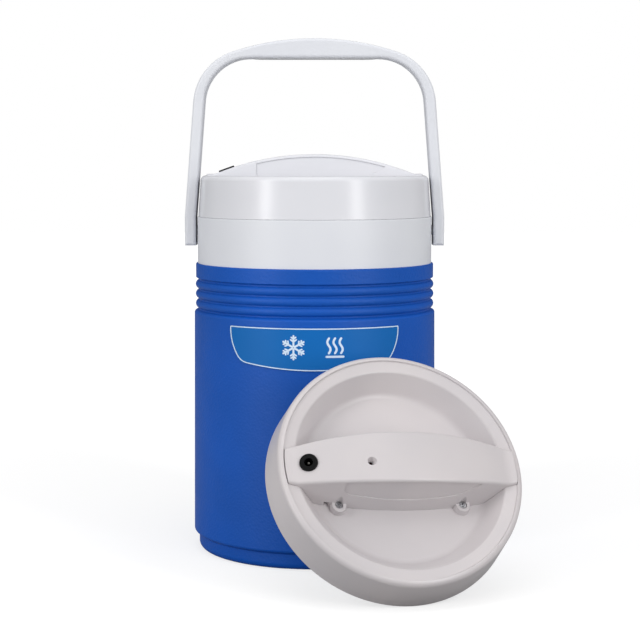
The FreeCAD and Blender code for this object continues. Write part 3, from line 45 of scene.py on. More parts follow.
# ------------------------------------------------------------------ colour and nodes
def linear(code: str) -> tuple[float, float, float, float]:
    """Turn an sRGB hex colour into the linear one that shaders take.

    Args:
        code: The colour as "#RRGGBB".

    Returns:
        Linear red, green and blue, and a full alpha.
    """
    parts = [int(code[i:i + 2], 16) / 255 for i in (1, 3, 5)]
    curve = [p / 12.92 if p <= 0.04045 else ((p + 0.055) / 1.055) ** 2.4 for p in parts]
    return (curve[0], curve[1], curve[2], 1.0)


def add_node(tree: bpy.types.NodeTree, kind: str, inputs: dict | None = None,
             **settings: object) -> bpy.types.Node:
    """Add a shader node, set it up and link it.

    Args:
        tree: The tree that the node goes into.
        kind: The node's type name, without its "ShaderNode".
        inputs: Socket name or number to a value or to another node's output.
        settings: Properties of the node itself.

    Returns:
        The new node.
    """
    node = tree.nodes.new("ShaderNode" + kind)
    for name, value in settings.items():
        setattr(node, name, value)
    for name, value in (inputs or {}).items():
        if isinstance(value, bpy.types.NodeSocket):
            tree.links.new(value, node.inputs[name])
        else:
            node.inputs[name].default_value = value
    return node


def blank_material(name: str) -> tuple[bpy.types.Material, bpy.types.NodeTree]:
    """Make a material with an empty node tree.

    Args:
        name: The material's name.

    Returns:
        The material and its tree.
    """
    material = bpy.data.materials.new(name)
    material.use_nodes = True
    material.node_tree.nodes.clear()
    return material, material.node_tree


# ------------------------------------------------------------------ marks of making and of use, and painted shade in seams
# How broad the marks are that every finish shares.
BATCH_PATCH = 70 * MM
HAND_MARK = 18 * MM
RUBBED_SPOT = 4 * MM
# Painted shade in seams: how far it reaches out of a seam, and the dark grey that it darkens towards.
SEAM_SHADE_REACH = 1.5 * MM
PAINTED_SEAM_SHADE = "#55555A"

# The stretch of each noise or measure that runs from no effect to all of it.
BATCH_RANGE = {"From Min": 0.35, "From Max": 0.65}
RUBBED_RANGE = {"From Min": 0.4, "From Max": 0.65}
HAND_RANGE = {"From Min": 0.4, "From Max": 1.6}
# An edge is where the rounded normal leaves the true one: this is their cosine.
EDGE_RANGE = {"From Min": 0.99, "From Max": 0.85}
# Painted shade darkens a seam, where little light gets in: this is the open share round a point.
SEAM_SHADE_RANGE = {"From Min": 0.5, "From Max": 0.15}
# The parting line's distance from the mould's plane, and its height in heights of the grain.
PARTING_RANGE = {"From Min": 0.12 * MM, "From Max": 0.4 * MM, "To Min": 2.5, "To Max": 0.0}

# A brushed line is this many times as long as it is wide.
BRUSH_LENGTH = 25
# How far noise bends a pebble's outline, in pebbles, how round it is, and how much fine grit lies on it.
PEBBLE_BEND = 0.5
PEBBLE_ROUNDNESS = 0.6
PEBBLE_GRIT = 0.35
# The level at which a surface reflects just what its index of refraction says.
PLAIN_SPECULAR = 0.5
RAYS = 4


# ------------------------------------------------------------------ finishes
class Grain(Enum):
    """The fine relief that a mould or a tool leaves on a surface."""

    PEBBLE = "pebble"
    SPARK = "spark"
    POLISHED = "polished"
    BRUSHED = "brushed"
    FOAM = "foam"


@dataclass(frozen=True)
class Finish:
    """A surface: its colour, sheen, grain and wear.

    Attributes:
        name: The material's name.
        colour: Its colour, as sRGB hex.
        shade: The colour that it drifts towards in broad patches.
        worn: The colour of its rubbed edges.
        roughness: Its mean roughness.
        swing: How far the roughness strays either way.
        grain: The kind of fine relief.
        grain_mm: The size of one pebble, pit or brush line.
        depth_mm: The height of the relief.
        edge_mm: The radius that its edges look rounded to.
        wear: How much of the worn colour its edges take, 0 to 1.
        metallic: 1 for a metal, 0 for anything else.
        ior: Index of refraction of a material that isn't a metal.
        parting: Whether a mould's parting line runs up both sides.
        seam_shade: How far painted shade darkens its seams and creases, 0 to 1.
        gloss: Share of its surface reflection that gets out of its texture.
    """

    name: str
    colour: str
    shade: str
    worn: str
    roughness: float
    swing: float = 0.06
    grain: Grain = Grain.SPARK
    grain_mm: float = 0.5
    depth_mm: float = 0.01
    edge_mm: float = 0.35
    wear: float = 0.25
    metallic: float = 0.0
    ior: float = 1.5
    parting: bool = False
    seam_shade: float = 0.0
    gloss: float = 1.0

    def build(self) -> bpy.types.Material:
        """Make the material.

        Returns:
            The finished material.
        """
        material, tree = blank_material(self.name)
        place = add_node(tree, "TexCoord").outputs["Object"]
        rounded = add_node(tree, "Bevel", {"Radius": self.edge_mm * MM}, samples=RAYS).outputs["Normal"]
        height = self._relief(tree, place)
        bump = add_node(tree, "Bump", {"Strength": 1.0, "Distance": self.depth_mm * MM,
                                       "Height": height, "Normal": rounded})
        colour = self._colour(tree, place, rounded)
        sheen = self._roughness(tree, place, height)
        shader = add_node(tree, "BsdfPrincipled", {"Base Color": colour, "Roughness": sheen,
                                                   "Metallic": self.metallic,
                                                   "Normal": bump.outputs["Normal"]})
        if not self.metallic:
            shader.inputs["IOR"].default_value = self.ior
            shader.inputs["Specular IOR Level"].default_value = PLAIN_SPECULAR * self.gloss
        add_node(tree, "OutputMaterial", {"Surface": shader.outputs["BSDF"]})
        return material

    def _relief(self, tree: bpy.types.NodeTree, place: bpy.types.NodeSocket) -> bpy.types.NodeSocket:
        """Build the height that the grain gives.

        Args:
            tree: The material's tree.
            place: The point on the object, in metres.

        Returns:
            The height, about 0 to 1.
        """
        scale = 1 / (self.grain_mm * MM)
        if self.grain is Grain.BRUSHED:
            drawn_out = (1 / BRUSH_LENGTH, 1.0, 1.0)
            lines = add_node(tree, "Mapping", {"Vector": place, "Scale": drawn_out}).outputs[0]
            return add_node(tree, "TexNoise", {"Vector": lines, "Scale": scale,
                                               "Detail": 3.0}).outputs["Fac"]
        noise = add_node(tree, "TexNoise", {"Vector": place, "Scale": scale, "Detail": 3.0,
                                            "Roughness": 0.6})
        if self.grain in (Grain.SPARK, Grain.POLISHED):
            height = noise.outputs["Fac"]
        else:
            height = self._pebbles(tree, place, noise)
        if not self.parting:
            return height
        across = add_node(tree, "SeparateXYZ", {0: place}).outputs["Y"]
        near = add_node(tree, "Math", {0: across}, operation="ABSOLUTE").outputs[0]
        line = add_node(tree, "MapRange", {"Value": near, **PARTING_RANGE}).outputs[0]
        return add_node(tree, "Math", {0: height, 1: line}, operation="ADD").outputs[0]

    def _pebbles(self, tree: bpy.types.NodeTree, place: bpy.types.NodeSocket,
                 noise: bpy.types.Node) -> bpy.types.NodeSocket:
        """Build rounded cells, bent out of true and gritty on top.

        Args:
            tree: The material's tree.
            place: The point on the object, in metres.
            noise: The noise that bends them and gives the grit.

        Returns:
            The height.
        """
        size = self.grain_mm * MM
        bend = add_node(tree, "VectorMath", {0: noise.outputs["Color"], "Scale": PEBBLE_BEND * size},
                        operation="SCALE").outputs[0]
        bent = add_node(tree, "VectorMath", {0: place, 1: bend}, operation="ADD").outputs[0]
        cells = add_node(tree, "TexVoronoi", {"Vector": bent, "Scale": 1 / size,
                                              "Smoothness": PEBBLE_ROUNDNESS},
                         feature="SMOOTH_F1").outputs["Distance"]
        domes = add_node(tree, "Math", {0: 1.0, 1: cells}, operation="SUBTRACT").outputs[0]
        grit = add_node(tree, "Math", {0: noise.outputs["Fac"], 1: PEBBLE_GRIT},
                        operation="MULTIPLY").outputs[0]
        return add_node(tree, "Math", {0: domes, 1: grit}, operation="ADD").outputs[0]

    def _colour(self, tree: bpy.types.NodeTree, place: bpy.types.NodeSocket,
                rounded: bpy.types.NodeSocket) -> bpy.types.NodeSocket:
        """Build the colour: broad drift, rubbed edges and painted shade in seams.

        Args:
            tree: The material's tree.
            place: The point on the object, in metres.
            rounded: The normal with its edges rounded off.

        Returns:
            The colour.
        """
        broad = add_node(tree, "TexNoise", {"Vector": place, "Scale": 1 / BATCH_PATCH,
                                            "Detail": 2.0}).outputs["Fac"]
        drift = add_node(tree, "MapRange", {"Value": broad, **BATCH_RANGE}).outputs[0]
        base = add_node(tree, "Mix", {"Factor": drift, "A": linear(self.colour), "B": linear(self.shade)},
                        data_type="RGBA").outputs["Result"]
        true = add_node(tree, "NewGeometry").outputs["Normal"]
        same = add_node(tree, "VectorMath", {0: rounded, 1: true},
                        operation="DOT_PRODUCT").outputs["Value"]
        edge = add_node(tree, "MapRange", {"Value": same, **EDGE_RANGE}).outputs[0]
        rubbed = add_node(tree, "TexNoise", {"Vector": place, "Scale": 1 / RUBBED_SPOT,
                                             "Detail": 4.0}).outputs["Fac"]
        patchy = add_node(tree, "MapRange", {"Value": rubbed, **RUBBED_RANGE, "To Max": self.wear}).outputs[0]
        amount = add_node(tree, "Math", {0: edge, 1: patchy}, operation="MULTIPLY").outputs[0]
        clean = add_node(tree, "Mix", {"Factor": amount, "A": base, "B": linear(self.worn)},
                         data_type="RGBA").outputs["Result"]
        if not self.seam_shade:
            return clean
        # Painted shade: where ambient occlusion finds a seam or crease, the colour is darkened towards a dark
        # grey.
        open_share = add_node(tree, "AmbientOcclusion", {"Distance": SEAM_SHADE_REACH},
                              samples=RAYS).outputs["AO"]
        painted_shade = add_node(tree, "MapRange", {"Value": open_share, **SEAM_SHADE_RANGE,
                                           "To Max": self.seam_shade}).outputs[0]
        return add_node(tree, "Mix", {"Factor": painted_shade, "A": clean, "B": linear(PAINTED_SEAM_SHADE)},
                        data_type="RGBA").outputs["Result"]

    def _roughness(self, tree: bpy.types.NodeTree, place: bpy.types.NodeSocket,
                   height: bpy.types.NodeSocket) -> bpy.types.NodeSocket:
        """Build the roughness: handling marks over the grain.

        Args:
            tree: The material's tree.
            place: The point on the object, in metres.
            height: The grain's height.

        Returns:
            The roughness.
        """
        marks = add_node(tree, "TexNoise", {"Vector": place, "Scale": 1 / HAND_MARK, "Detail": 5.0,
                                            "Roughness": 0.65}).outputs["Fac"]
        both = add_node(tree, "Math", {0: marks, 1: height}, operation="ADD").outputs[0]
        return add_node(tree, "MapRange", {"Value": both, **HAND_RANGE,
                                           "To Min": self.roughness - self.swing,
                                           "To Max": self.roughness + self.swing}).outputs[0]


# Spark-eroded pits and brush lines are under 0.1 mm across, blasted grit and foam cells under 0.5 mm. That
# is too fine to show from a table's distance, so they are drawn coarser: the pits 0.3 to 0.8 mm, the brush
# lines 0.2 mm, the cells 0.9 mm and the grit 2 mm.

# HDPE, blow-moulded in a grit-blasted mould: a low pebble that breaks the gloss up and traps some of it.
BLUE_SHELL = Finish("blue_hdpe", "#0255B9", "#0251B0", "#2E6CCA", 0.5, 0.04, Grain.PEBBLE, 2.0, 0.14,
                    edge_mm=0.6, wear=0.3, ior=1.54, parting=True, gloss=0.55)
# Polypropylene copolymer, injection moulded with a spark finish that spreads the lamps to a soft sheen.
WHITE_SHELL = Finish("white_polypropylene", "#E3E5EA", "#DFE1E7", "#F0F1F4", 0.46, 0.04, Grain.SPARK,
                     0.45, 0.006, seam_shade=0.8)
# The same resin in the lid's tool, which is polished finer, so that its highlights have crisper sides.
LID_WHITE = Finish("lid_polypropylene", "#E3E3E8", "#DEDFE4", "#F0F0F3", 0.25, 0.04, Grain.SPARK,
                   0.4, 0.004, edge_mm=0.5, seam_shade=0.8)
# A shaded copy of it for the spare lid, painted darker, greyer and warmer: painted shade for how the leaning
# lid is lit.
SHADED_SPARE_WHITE = Finish("spare_polypropylene_shaded", "#CFC9CA", "#C9C4C6", "#E0DCDD", 0.34, 0.05, Grain.SPARK,
                     0.4, 0.005, edge_mm=0.5, seam_shade=0.5)
# Acetal pins, inserts and fittings straight from a polished mould, so they catch small bright glints.
SMOOTH_WHITE = Finish("white_acetal", "#E0E1E4", "#D8DADE", "#EDEDEF", 0.26, 0.05, Grain.POLISHED,
                      1.5, 0.003, ior=1.48)
# Food-grade polyethylene liner, satin from its mould.
LINER_WHITE = Finish("liner_polyethylene", "#ECECE8", "#E2E2DC", "#F4F4F0", 0.42, 0.06, Grain.SPARK,
                     0.8, 0.008, ior=1.51)
# Rigid polyurethane foam, poured in place; its skin is full of small open cells and quite dull.
FOAM = Finish("polyurethane_foam", "#E6D9A8", "#D8C78E", "#EFE6BE", 0.9, 0.05, Grain.FOAM,
              0.9, 0.2, wear=0.1)
# Printed polyester film under a clear matt coat, which keeps the lamps out of the print.
LABEL_BLUE = Finish("label_film", "#0469B8", "#0465B0", "#2A82C8", 0.5, 0.04, Grain.SPARK,
                    0.6, 0.004, edge_mm=0.15, wear=0.15, ior=1.57, gloss=0.35)
# Screen-printed vinyl ink, a little chalky, so that it stays pale from every side.
LABEL_INK = Finish("pale_ink", "#D8E9FA", "#CFE2F6", "#E8F2FC", 0.4, 0.06, Grain.SPARK,
                   0.3, 0.002, edge_mm=0.05, wear=0.1)
# Grey acetal of the hose coupling, moulded with a light sheen.
COUPLING_GREY = Finish("grey_acetal", "#A4A7AC", "#989BA1", "#C0C3C7", 0.32, 0.06, Grain.SPARK,
                       0.5, 0.006, ior=1.48)
# Stainless steel, drawn and tumbled: fine lines one way, and brighter where it is rubbed.
STEEL = Finish("stainless_steel", "#B4B4B6", "#9C9CA0", "#D2D2D4", 0.3, 0.08, Grain.BRUSHED,
               0.25, 0.004, edge_mm=0.12, wear=0.4, metallic=1.0)
# Nickel plate over the turned brass of the socket's pin, dull from the plugs; the brass shows at its rim.
NICKEL = Finish("nickel_plate", "#7C7A76", "#6A6864", "#B79A5C", 0.42, 0.06, Grain.BRUSHED,
                0.2, 0.003, edge_mm=0.1, wear=0.2, metallic=1.0)
# Carbon-filled nitrile rubber, pressed in a plain mould: almost no shine.
BLACK_RUBBER = Finish("nitrile_rubber", "#191919", "#222222", "#343434", 0.62, 0.06, Grain.SPARK,
                      0.6, 0.012, ior=1.52)
# White silicone of the gaskets and air tubes, extruded or pressed: a waxy, low sheen.
WHITE_RUBBER = Finish("white_silicone", "#DAD9D4", "#CFCEC8", "#E8E7E3", 0.5, 0.06, Grain.POLISHED,
                      1.2, 0.006, ior=1.41)
# Glass-filled nylon, moulded black; it greys where a plug has rubbed it.
BLACK_NYLON = Finish("black_nylon", "#080809", "#0D0D0E", "#2A2A2D", 0.5, 0.08, Grain.SPARK,
                     0.4, 0.008, edge_mm=0.2, wear=0.3, ior=1.53, gloss=0.3)
# Green solder mask, curtain coated over a glass-epoxy board: glassy and deep in colour.
BOARD_GREEN = Finish("solder_mask", "#1F6B38", "#1A5E30", "#3A8A54", 0.28, 0.06, Grain.POLISHED,
                     1.0, 0.005, edge_mm=0.1, ior=1.55)
# Extruded PVC insulation of the hook-up wires, smooth and a little glossy.
WIRE_RED = Finish("wire_pvc", "#9C1F1C", "#8A1A18", "#B8403C", 0.38, 0.06, Grain.POLISHED,
                  0.8, 0.004, edge_mm=0.05, ior=1.53)


class Workshop:
    """Keeps one material for each finish, so that pieces share them.

    Attributes:
        made: The materials made so far, by name.
    """

    made: dict[str, bpy.types.Material] = {}

    @classmethod
    def material(cls, finish: Finish) -> bpy.types.Material:
        """Give the material of a finish, made on first use.

        Args:
            finish: The finish.

        Returns:
            Its material.
        """
        if finish.name not in cls.made:
            cls.made[finish.name] = finish.build()
        return cls.made[finish.name]

    @classmethod
    def dress(cls, node: str, finish: Finish) -> None:
        """Give a CAD node its finish.

        Args:
            node: The node's name.
            finish: The finish.
        """
        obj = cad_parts[node]
        obj.data.materials.clear()
        obj.data.materials.append(cls.material(finish))
        log.info("%s: %s", node, finish.name)


# ------------------------------------------------------------------ meshes
def rest_points(node: str) -> list[Vector]:
    """List the vertices of a CAD node at rest, in the row frame."""
    return [vertex.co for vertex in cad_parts[node].data.vertices]


def rest_box(node: str) -> tuple[Vector, Vector]:
    """Measure a CAD node at rest.

    Args:
        node: The node's name.

    Returns:
        The low and the high corner of its box, in the row frame.
    """
    axes = list(zip(*rest_points(node)))
    return Vector([min(axis) for axis in axes]), Vector([max(axis) for axis in axes])


def make_object(name: str, bm: bmesh.types.BMesh, finish: Finish) -> bpy.types.Object:
    """Turn a bmesh into an object of the scene with one finish.

    Args:
        name: The object's name.
        bm: The mesh, which is freed.
        finish: Its finish.

    Returns:
        The object.
    """
    mesh = bpy.data.meshes.new(name)
    bmesh.ops.recalc_face_normals(bm, faces=bm.faces)
    bm.to_mesh(mesh)
    bm.free()
    mesh.materials.append(Workshop.material(finish))
    obj = bpy.data.objects.new(name, mesh)
    bpy.context.scene.collection.objects.link(obj)
    return obj


# ------------------------------------------------------------------ the label's print
@dataclass
class LabelFace:
    """The front of the label's plate, a strip of a cone, and the pen that lays ink on it.

    Attributes:
        node: The plate's CAD node, which the face is measured from.
        clearance: How far the ink's underside stays off the face.
        ink: The ink's thickness.
        step: The longest piece of a line that still follows the curve.
        edge_reach: How close to the plate's top or bottom a vertex counts as on it.
        round_end: How far out and how wide each step of a stroke's end is, in half widths.
        bottom: Height of the plate's lowest point.
        top: Height of its top edge.
        bottom_radius: The face's radius at the bottom.
        top_radius: The face's radius at the top.
    """

    node: str = "label_plate"
    clearance: float = 0.01 * MM
    ink: float = 0.05 * MM
    step: float = 1.2 * MM
    edge_reach: float = 0.02 * MM
    round_end: tuple[Pair, ...] = ((1.0, 0.35), (0.6, 0.8))
    bottom: float = field(init=False)
    top: float = field(init=False)
    bottom_radius: float = field(init=False)
    top_radius: float = field(init=False)

    def __post_init__(self) -> None:
        """Measure the plate."""
        low, high = rest_box(self.node)
        self.bottom, self.top = low.z, high.z
        self.bottom_radius, self.top_radius = (self._radius(z) for z in (low.z, high.z))

    def _radius(self, z: float) -> float:
        """Find the face's radius at the plate's top or bottom.

        Args:
            z: The height of that edge.

        Returns:
            The radius.
        """
        return max(math.hypot(p.x, p.y) for p in rest_points(self.node) if abs(p.z - z) < self.edge_reach)

    @property
    def middle(self) -> float:
        """Give the height halfway up the plate."""
        return (self.top + self.bottom) / 2

    def on_wall(self, x: float, z: float, lift: float) -> Vector:
        """Put a flat point of the drawing on the face.

        Args:
            x: Across the label.
            z: Height above the base.
            lift: Distance out from the ink's underside.

        Returns:
            The point in the row frame.
        """
        up = (z - self.bottom) / (self.top - self.bottom)
        face = self.bottom_radius + up * (self.top_radius - self.bottom_radius)
        radius = face + self.clearance + lift
        return Vector((x, -math.sqrt(radius * radius - x * x), z))

    def strip(self, bm: bmesh.types.BMesh, inner: Sequence[Vector], outer: Sequence[Vector],
              closed: bool) -> None:
        """Lay a thin strip of ink between two lines of points.

        Args:
            bm: The mesh that takes it.
            inner: One side of the strip, flat.
            outer: The other side, flat.
            closed: Whether the strip joins up with its start.
        """
        rings = []
        for a, b in zip(inner, outer):
            section = ((a, 0.0), (a, self.ink), (b, self.ink), (b, 0.0))
            rings.append([bm.verts.new(self.on_wall(p.x, p.y, lift)) for p, lift in section])
        count = len(rings)
        for i in range(count if closed else count - 1):
            here, there = rings[i], rings[(i + 1) % count]
            for k in range(4):
                after = (k + 1) % 4
                bm.faces.new((here[k], here[after], there[after], there[k]))
        if not closed:
            bm.faces.new(rings[0])
            bm.faces.new(rings[-1][::-1])

    def stroke(self, bm: bmesh.types.BMesh, points: Sequence[Pair], width: float) -> None:
        """Draw a pen stroke with tapered round ends.

        Args:
            bm: The mesh that takes it.
            points: The stroke's line, flat (x, z).
            width: Its width.
        """
        line = [Vector((*p, 0)) for p in points]
        fine = [line[0]]
        for a, b in zip(line, line[1:]):
            count = max(1, int((b - a).length / self.step))
            fine += [a.lerp(b, t / count) for t in range(1, count + 1)]
        last = len(fine) - 1
        ways = [(fine[min(i + 1, last)] - fine[max(i - 1, 0)]).normalized() for i in range(last + 1)]
        half = width / 2
        rows = [(fine[0] - ways[0] * half * out, ways[0], share) for out, share in self.round_end]
        rows += [(p, way, 1.0) for p, way in zip(fine, ways)]
        rows += [(fine[-1] + ways[-1] * half * out, ways[-1], share)
                 for out, share in reversed(self.round_end)]
        left = [p + Vector((-way.y, way.x, 0)) * half * share for p, way, share in rows]
        right = [p - Vector((-way.y, way.x, 0)) * half * share for p, way, share in rows]
        self.strip(bm, left, right, False)


@dataclass
class LabelBorder:
    """The pale line round the label's edge.

    Attributes:
        half_width: Half the label's width at the top.
        foot_half_width: Half its width where the bottom edge starts.
        foot_rise: How far that start is above the lowest point.
        side_bow: How far each side bows out.
        top_round: Radius of its top corners.
        foot_round: Radius of its bottom corners.
        line: Width of the line.
        inset: How far the line stays inside the edge.
        arc_steps: Pieces of a rounded corner.
        fewest_steps: The fewest pieces of a side.
        arc_clearance: How far past a corner's radius a side starts, as a share of it.
    """

    half_width: float = 66.0 * MM
    foot_half_width: float = 57.5 * MM
    foot_rise: float = 5.3 * MM
    side_bow: float = 2.6 * MM
    top_round: float = 1.5 * MM
    foot_round: float = 5.0 * MM
    line: float = 0.8 * MM
    inset: float = 0.25 * MM
    arc_steps: int = 6
    fewest_steps: int = 8
    arc_clearance: float = 1.05

    def _sides(self, face: LabelFace) -> list[list[Vector]]:
        """Draw the four bowed sides, anticlockwise from the bottom one.

        Args:
            face: The label's face.

        Returns:
            Flat points (x, z, 0) of each side, with sharp corners.
        """
        low = face.bottom + self.foot_rise
        corners = [(-self.foot_half_width, low), (self.foot_half_width, low),
                   (self.half_width, face.top), (-self.half_width, face.top)]
        bows = [self.foot_rise, self.side_bow, 0.0, self.side_bow]
        sides = []
        for i, (start, bow) in enumerate(zip(corners, bows)):
            a, b = Vector((*start, 0)), Vector((*corners[(i + 1) % 4], 0))
            way = (b - a).normalized()
            out = Vector((way.y, -way.x, 0))
            count = max(self.fewest_steps, int((b - a).length / face.step))
            shares = [t / count for t in range(count + 1)]
            sides.append([a.lerp(b, u) + out * bow * (1 - (2 * u - 1) ** 2) for u in shares])
        return sides

    def outline(self, face: LabelFace) -> list[Vector]:
        """Draw the label's edge, anticlockwise, with its corners rounded.

        Args:
            face: The label's face.

        Returns:
            Flat points (x, z, 0).
        """
        sides = self._sides(face)
        radii = [self.foot_round, self.foot_round, self.top_round, self.top_round]
        points: list[Vector] = []
        for i, side in enumerate(sides):
            here, there = radii[i], radii[(i + 1) % 4]
            corner, end = side[0], side[-1]
            came, goes = (min(line, key=lambda p: abs((p - corner).length - here))
                          for line in (sides[i - 1], side))
            for u in (t / self.arc_steps for t in range(self.arc_steps + 1)):
                points.append(came * (1 - u) ** 2 + corner * 2 * u * (1 - u) + goes * u * u)
            points += [p for p in side if (p - corner).length > here * self.arc_clearance
                       and (p - end).length > there * self.arc_clearance]
        return points

    def build(self, face: LabelFace) -> bpy.types.Object:
        """Make the line.

        Args:
            face: The label's face.

        Returns:
            The line.
        """
        points = self.outline(face)
        count = len(points)
        inner, outer = [], []
        for i, point in enumerate(points):
            way = (points[(i + 1) % count] - points[i - 1]).normalized()
            inward = Vector((-way.y, way.x, 0))
            outer.append(point + inward * self.inset)
            inner.append(point + inward * (self.inset + self.line))
        bm = bmesh.new()
        face.strip(bm, inner, outer, True)
        return make_object("label_border", bm, LABEL_INK)


@dataclass
class ColdSign:
    """The sign for cold: a flake with six arms.

    Attributes:
        x: Its middle across the label.
        z: Its middle's height.
        reach: Length of an arm.
        line: Width of an arm's stroke.
        arms: How many arms there are.
        first: Angle of the first arm, in degrees.
        core: Share of an arm left open at the middle.
        spread: Angle between a twig and its arm, in degrees.
        twigs: Where on the arm each pair of twigs grows and how long it is, as shares of the arm.
        twig_line: Width of a twig's stroke, as a share of an arm's.
    """

    x: float
    z: float
    reach: float = 9.0 * MM
    line: float = 1.5 * MM
    arms: int = 6
    first: float = 30.0
    core: float = 0.12
    spread: float = 52.0
    twigs: tuple[Pair, ...] = ((0.5, 0.3), (0.74, 0.24))
    twig_line: float = 0.8

    def _ray(self, start: Pair, angle: float, length: float) -> Pair:
        """Go a length from a point, at an angle in radians."""
        return (start[0] + math.cos(angle) * length, start[1] + math.sin(angle) * length)

    def build(self, face: LabelFace) -> bpy.types.Object:
        """Make the flake.

        Args:
            face: The label's face.

        Returns:
            The flake.
        """
        bm = bmesh.new()
        middle = (self.x, self.z)
        for arm in range(self.arms):
            turn = math.radians(self.first + arm * 360 / self.arms)
            ends = [self._ray(middle, turn, self.reach * share) for share in (self.core, 1.0)]
            face.stroke(bm, ends, self.line)
            for side in (-1, 1):
                branch = turn + side * math.radians(self.spread)
                for share, length in self.twigs:
                    foot = self._ray(middle, turn, self.reach * share)
                    tip = self._ray(foot, branch, self.reach * length)
                    face.stroke(bm, [foot, tip], self.line * self.twig_line)
        return make_object("label_cold_sign", bm, LABEL_INK)


@dataclass
class HeatSign:
    """The sign for heat: three rising waves over a bar.

    Attributes:
        x: Its middle across the label.
        z: Its middle's height.
        reach: Half its height, which the shares below are of.
        line: Width of a stroke.
        apart: From one wave to the next.
        sway: How far a wave swings either way.
        foot: How far below the middle a wave starts.
        rise: A wave's height.
        bar_reach: Half the bar's length.
        bar_drop: How far below the middle the bar lies.
        steps: Pieces of a wave.
    """

    x: float
    z: float
    reach: float = 7.6 * MM
    line: float = 1.7 * MM
    apart: float = 0.62
    sway: float = 0.16
    foot: float = 0.55
    rise: float = 1.5
    bar_reach: float = 0.85
    bar_drop: float = 0.92
    steps: int = 16

    def build(self, face: LabelFace) -> bpy.types.Object:
        """Make the sign.

        Args:
            face: The label's face.

        Returns:
            The sign.
        """
        bm = bmesh.new()
        shares = [t / self.steps for t in range(self.steps + 1)]
        for column in (-1, 0, 1):
            left = self.x + column * self.reach * self.apart
            wave = [(left + math.sin(u * 2 * math.pi) * self.reach * self.sway,
                     self.z - self.reach * self.foot + u * self.reach * self.rise) for u in shares]
            face.stroke(bm, wave, self.line)
        bar = [(self.x + side * self.reach * self.bar_reach, self.z - self.reach * self.bar_drop)
               for side in (-1, 1)]
        face.stroke(bm, bar, self.line)
        return make_object("label_heat_sign", bm, LABEL_INK)


@dataclass
class LabelPrint:
    """The pale print on the label: a line round its edge, and signs for cold and heat.

    Attributes:
        sign_offset: From the label's middle to a sign's, across it.
        sign_lift: How far the signs sit above the label's middle.
    """

    sign_offset: float = 16.0 * MM
    sign_lift: float = 1.6 * MM

    def build(self) -> None:
        """Make the whole print and fix it to the jug."""
        face = LabelFace()
        height = face.middle + self.sign_lift
        for sign in (LabelBorder(), ColdSign(-self.sign_offset, height), HeatSign(self.sign_offset, height)):
            piece = sign.build(face)
            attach(piece, "cooler")
            log.info("%s on the jug", piece.name)


# ------------------------------------------------------------------ the assemblies
@dataclass
class LatchRidges:
    """Ridges pressed across the outlet latch's pad, which give the thumb a hold.

    Attributes:
        node: The latch's CAD node, whose flat top is the pad.
        side_gap: From a ridge's end to the pad's side.
        pitch: From one ridge to the next.
        base: Half a ridge's width at its foot.
        proud: How far a ridge stands up.
        bite: How far its foot goes into the pad.
        shoulder: Where its rounded top starts, as shares of the base and the height.
        count: How many ridges there are.
    """

    node: str = "outlet_latch"
    side_gap: float = 1.2 * MM
    pitch: float = 1.9 * MM
    base: float = 0.55 * MM
    proud: float = 0.5 * MM
    bite: float = 0.2 * MM
    shoulder: Pair = (0.5, 0.8)
    count: int = 4

    def profile(self) -> list[Pair]:
        """Draw a ridge's section, round from its buried foot.

        Returns:
            Points (y, z) from the ridge's middle and the pad's face.
        """
        across, up = self.shoulder
        right = [(self.base, -self.bite), (self.base, 0.0), (across * self.base, up * self.proud)]
        left = [(-y, z) for y, z in reversed(right)]
        return [left[-1], *right, (0.0, self.proud), *left[:-1]]

    def build(self) -> bpy.types.Object:
        """Make the ridges and fix them to the latch.

        Returns:
            The ridges, as one piece.
        """
        low, high = rest_box(self.node)
        middle, half = (low.y + high.y) / 2, high.x - self.side_gap
        profile = self.profile()
        bm = bmesh.new()
        for number in range(self.count):
            along = middle + (number - (self.count - 1) / 2) * self.pitch
            ends = [[bm.verts.new((side * half, along + y, high.z + z)) for y, z in profile]
                    for side in (-1, 1)]
            bm.faces.new(ends[0])
            bm.faces.new(ends[1][::-1])
            for k in range(len(profile)):
                after = (k + 1) % len(profile)
                bm.faces.new((ends[0][k], ends[1][k], ends[1][after], ends[0][after]))
        ridges = make_object("latch_ridges", bm, STEEL)
        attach(ridges, "latch")
        log.info("%s on the latch", ridges.name)
        return ridges


@dataclass
class Cooler:
    """The jug: its wall, collar, bail and hose outlet.

    Attributes:
        finishes: Node to finish.
    """

    finishes: dict[str, Finish] = field(default_factory=lambda: {
        "outer_shell": BLUE_SHELL,
        "inner_liner": LINER_WHITE,
        "foam_insulation": FOAM,
        "collar": WHITE_SHELL,
        "label_plate": LABEL_BLUE,
        "bail_handle": WHITE_SHELL,
        "bail_grip_insert": SMOOTH_WHITE,
        "bail_pin_left": SMOOTH_WHITE,
        "bail_pin_right": SMOOTH_WHITE,
        "outlet_body": COUPLING_GREY,
        "outlet_seal": BLACK_RUBBER,
        "outlet_nut": COUPLING_GREY,
        "outlet_latch": STEEL,
        "latch_spring": STEEL,
    })

    def build(self) -> None:
        """Dress the jug, print its label and press the latch's ridges."""
        for node, finish in self.finishes.items():
            Workshop.dress(node, finish)
        LabelPrint().build()
        LatchRidges().build()


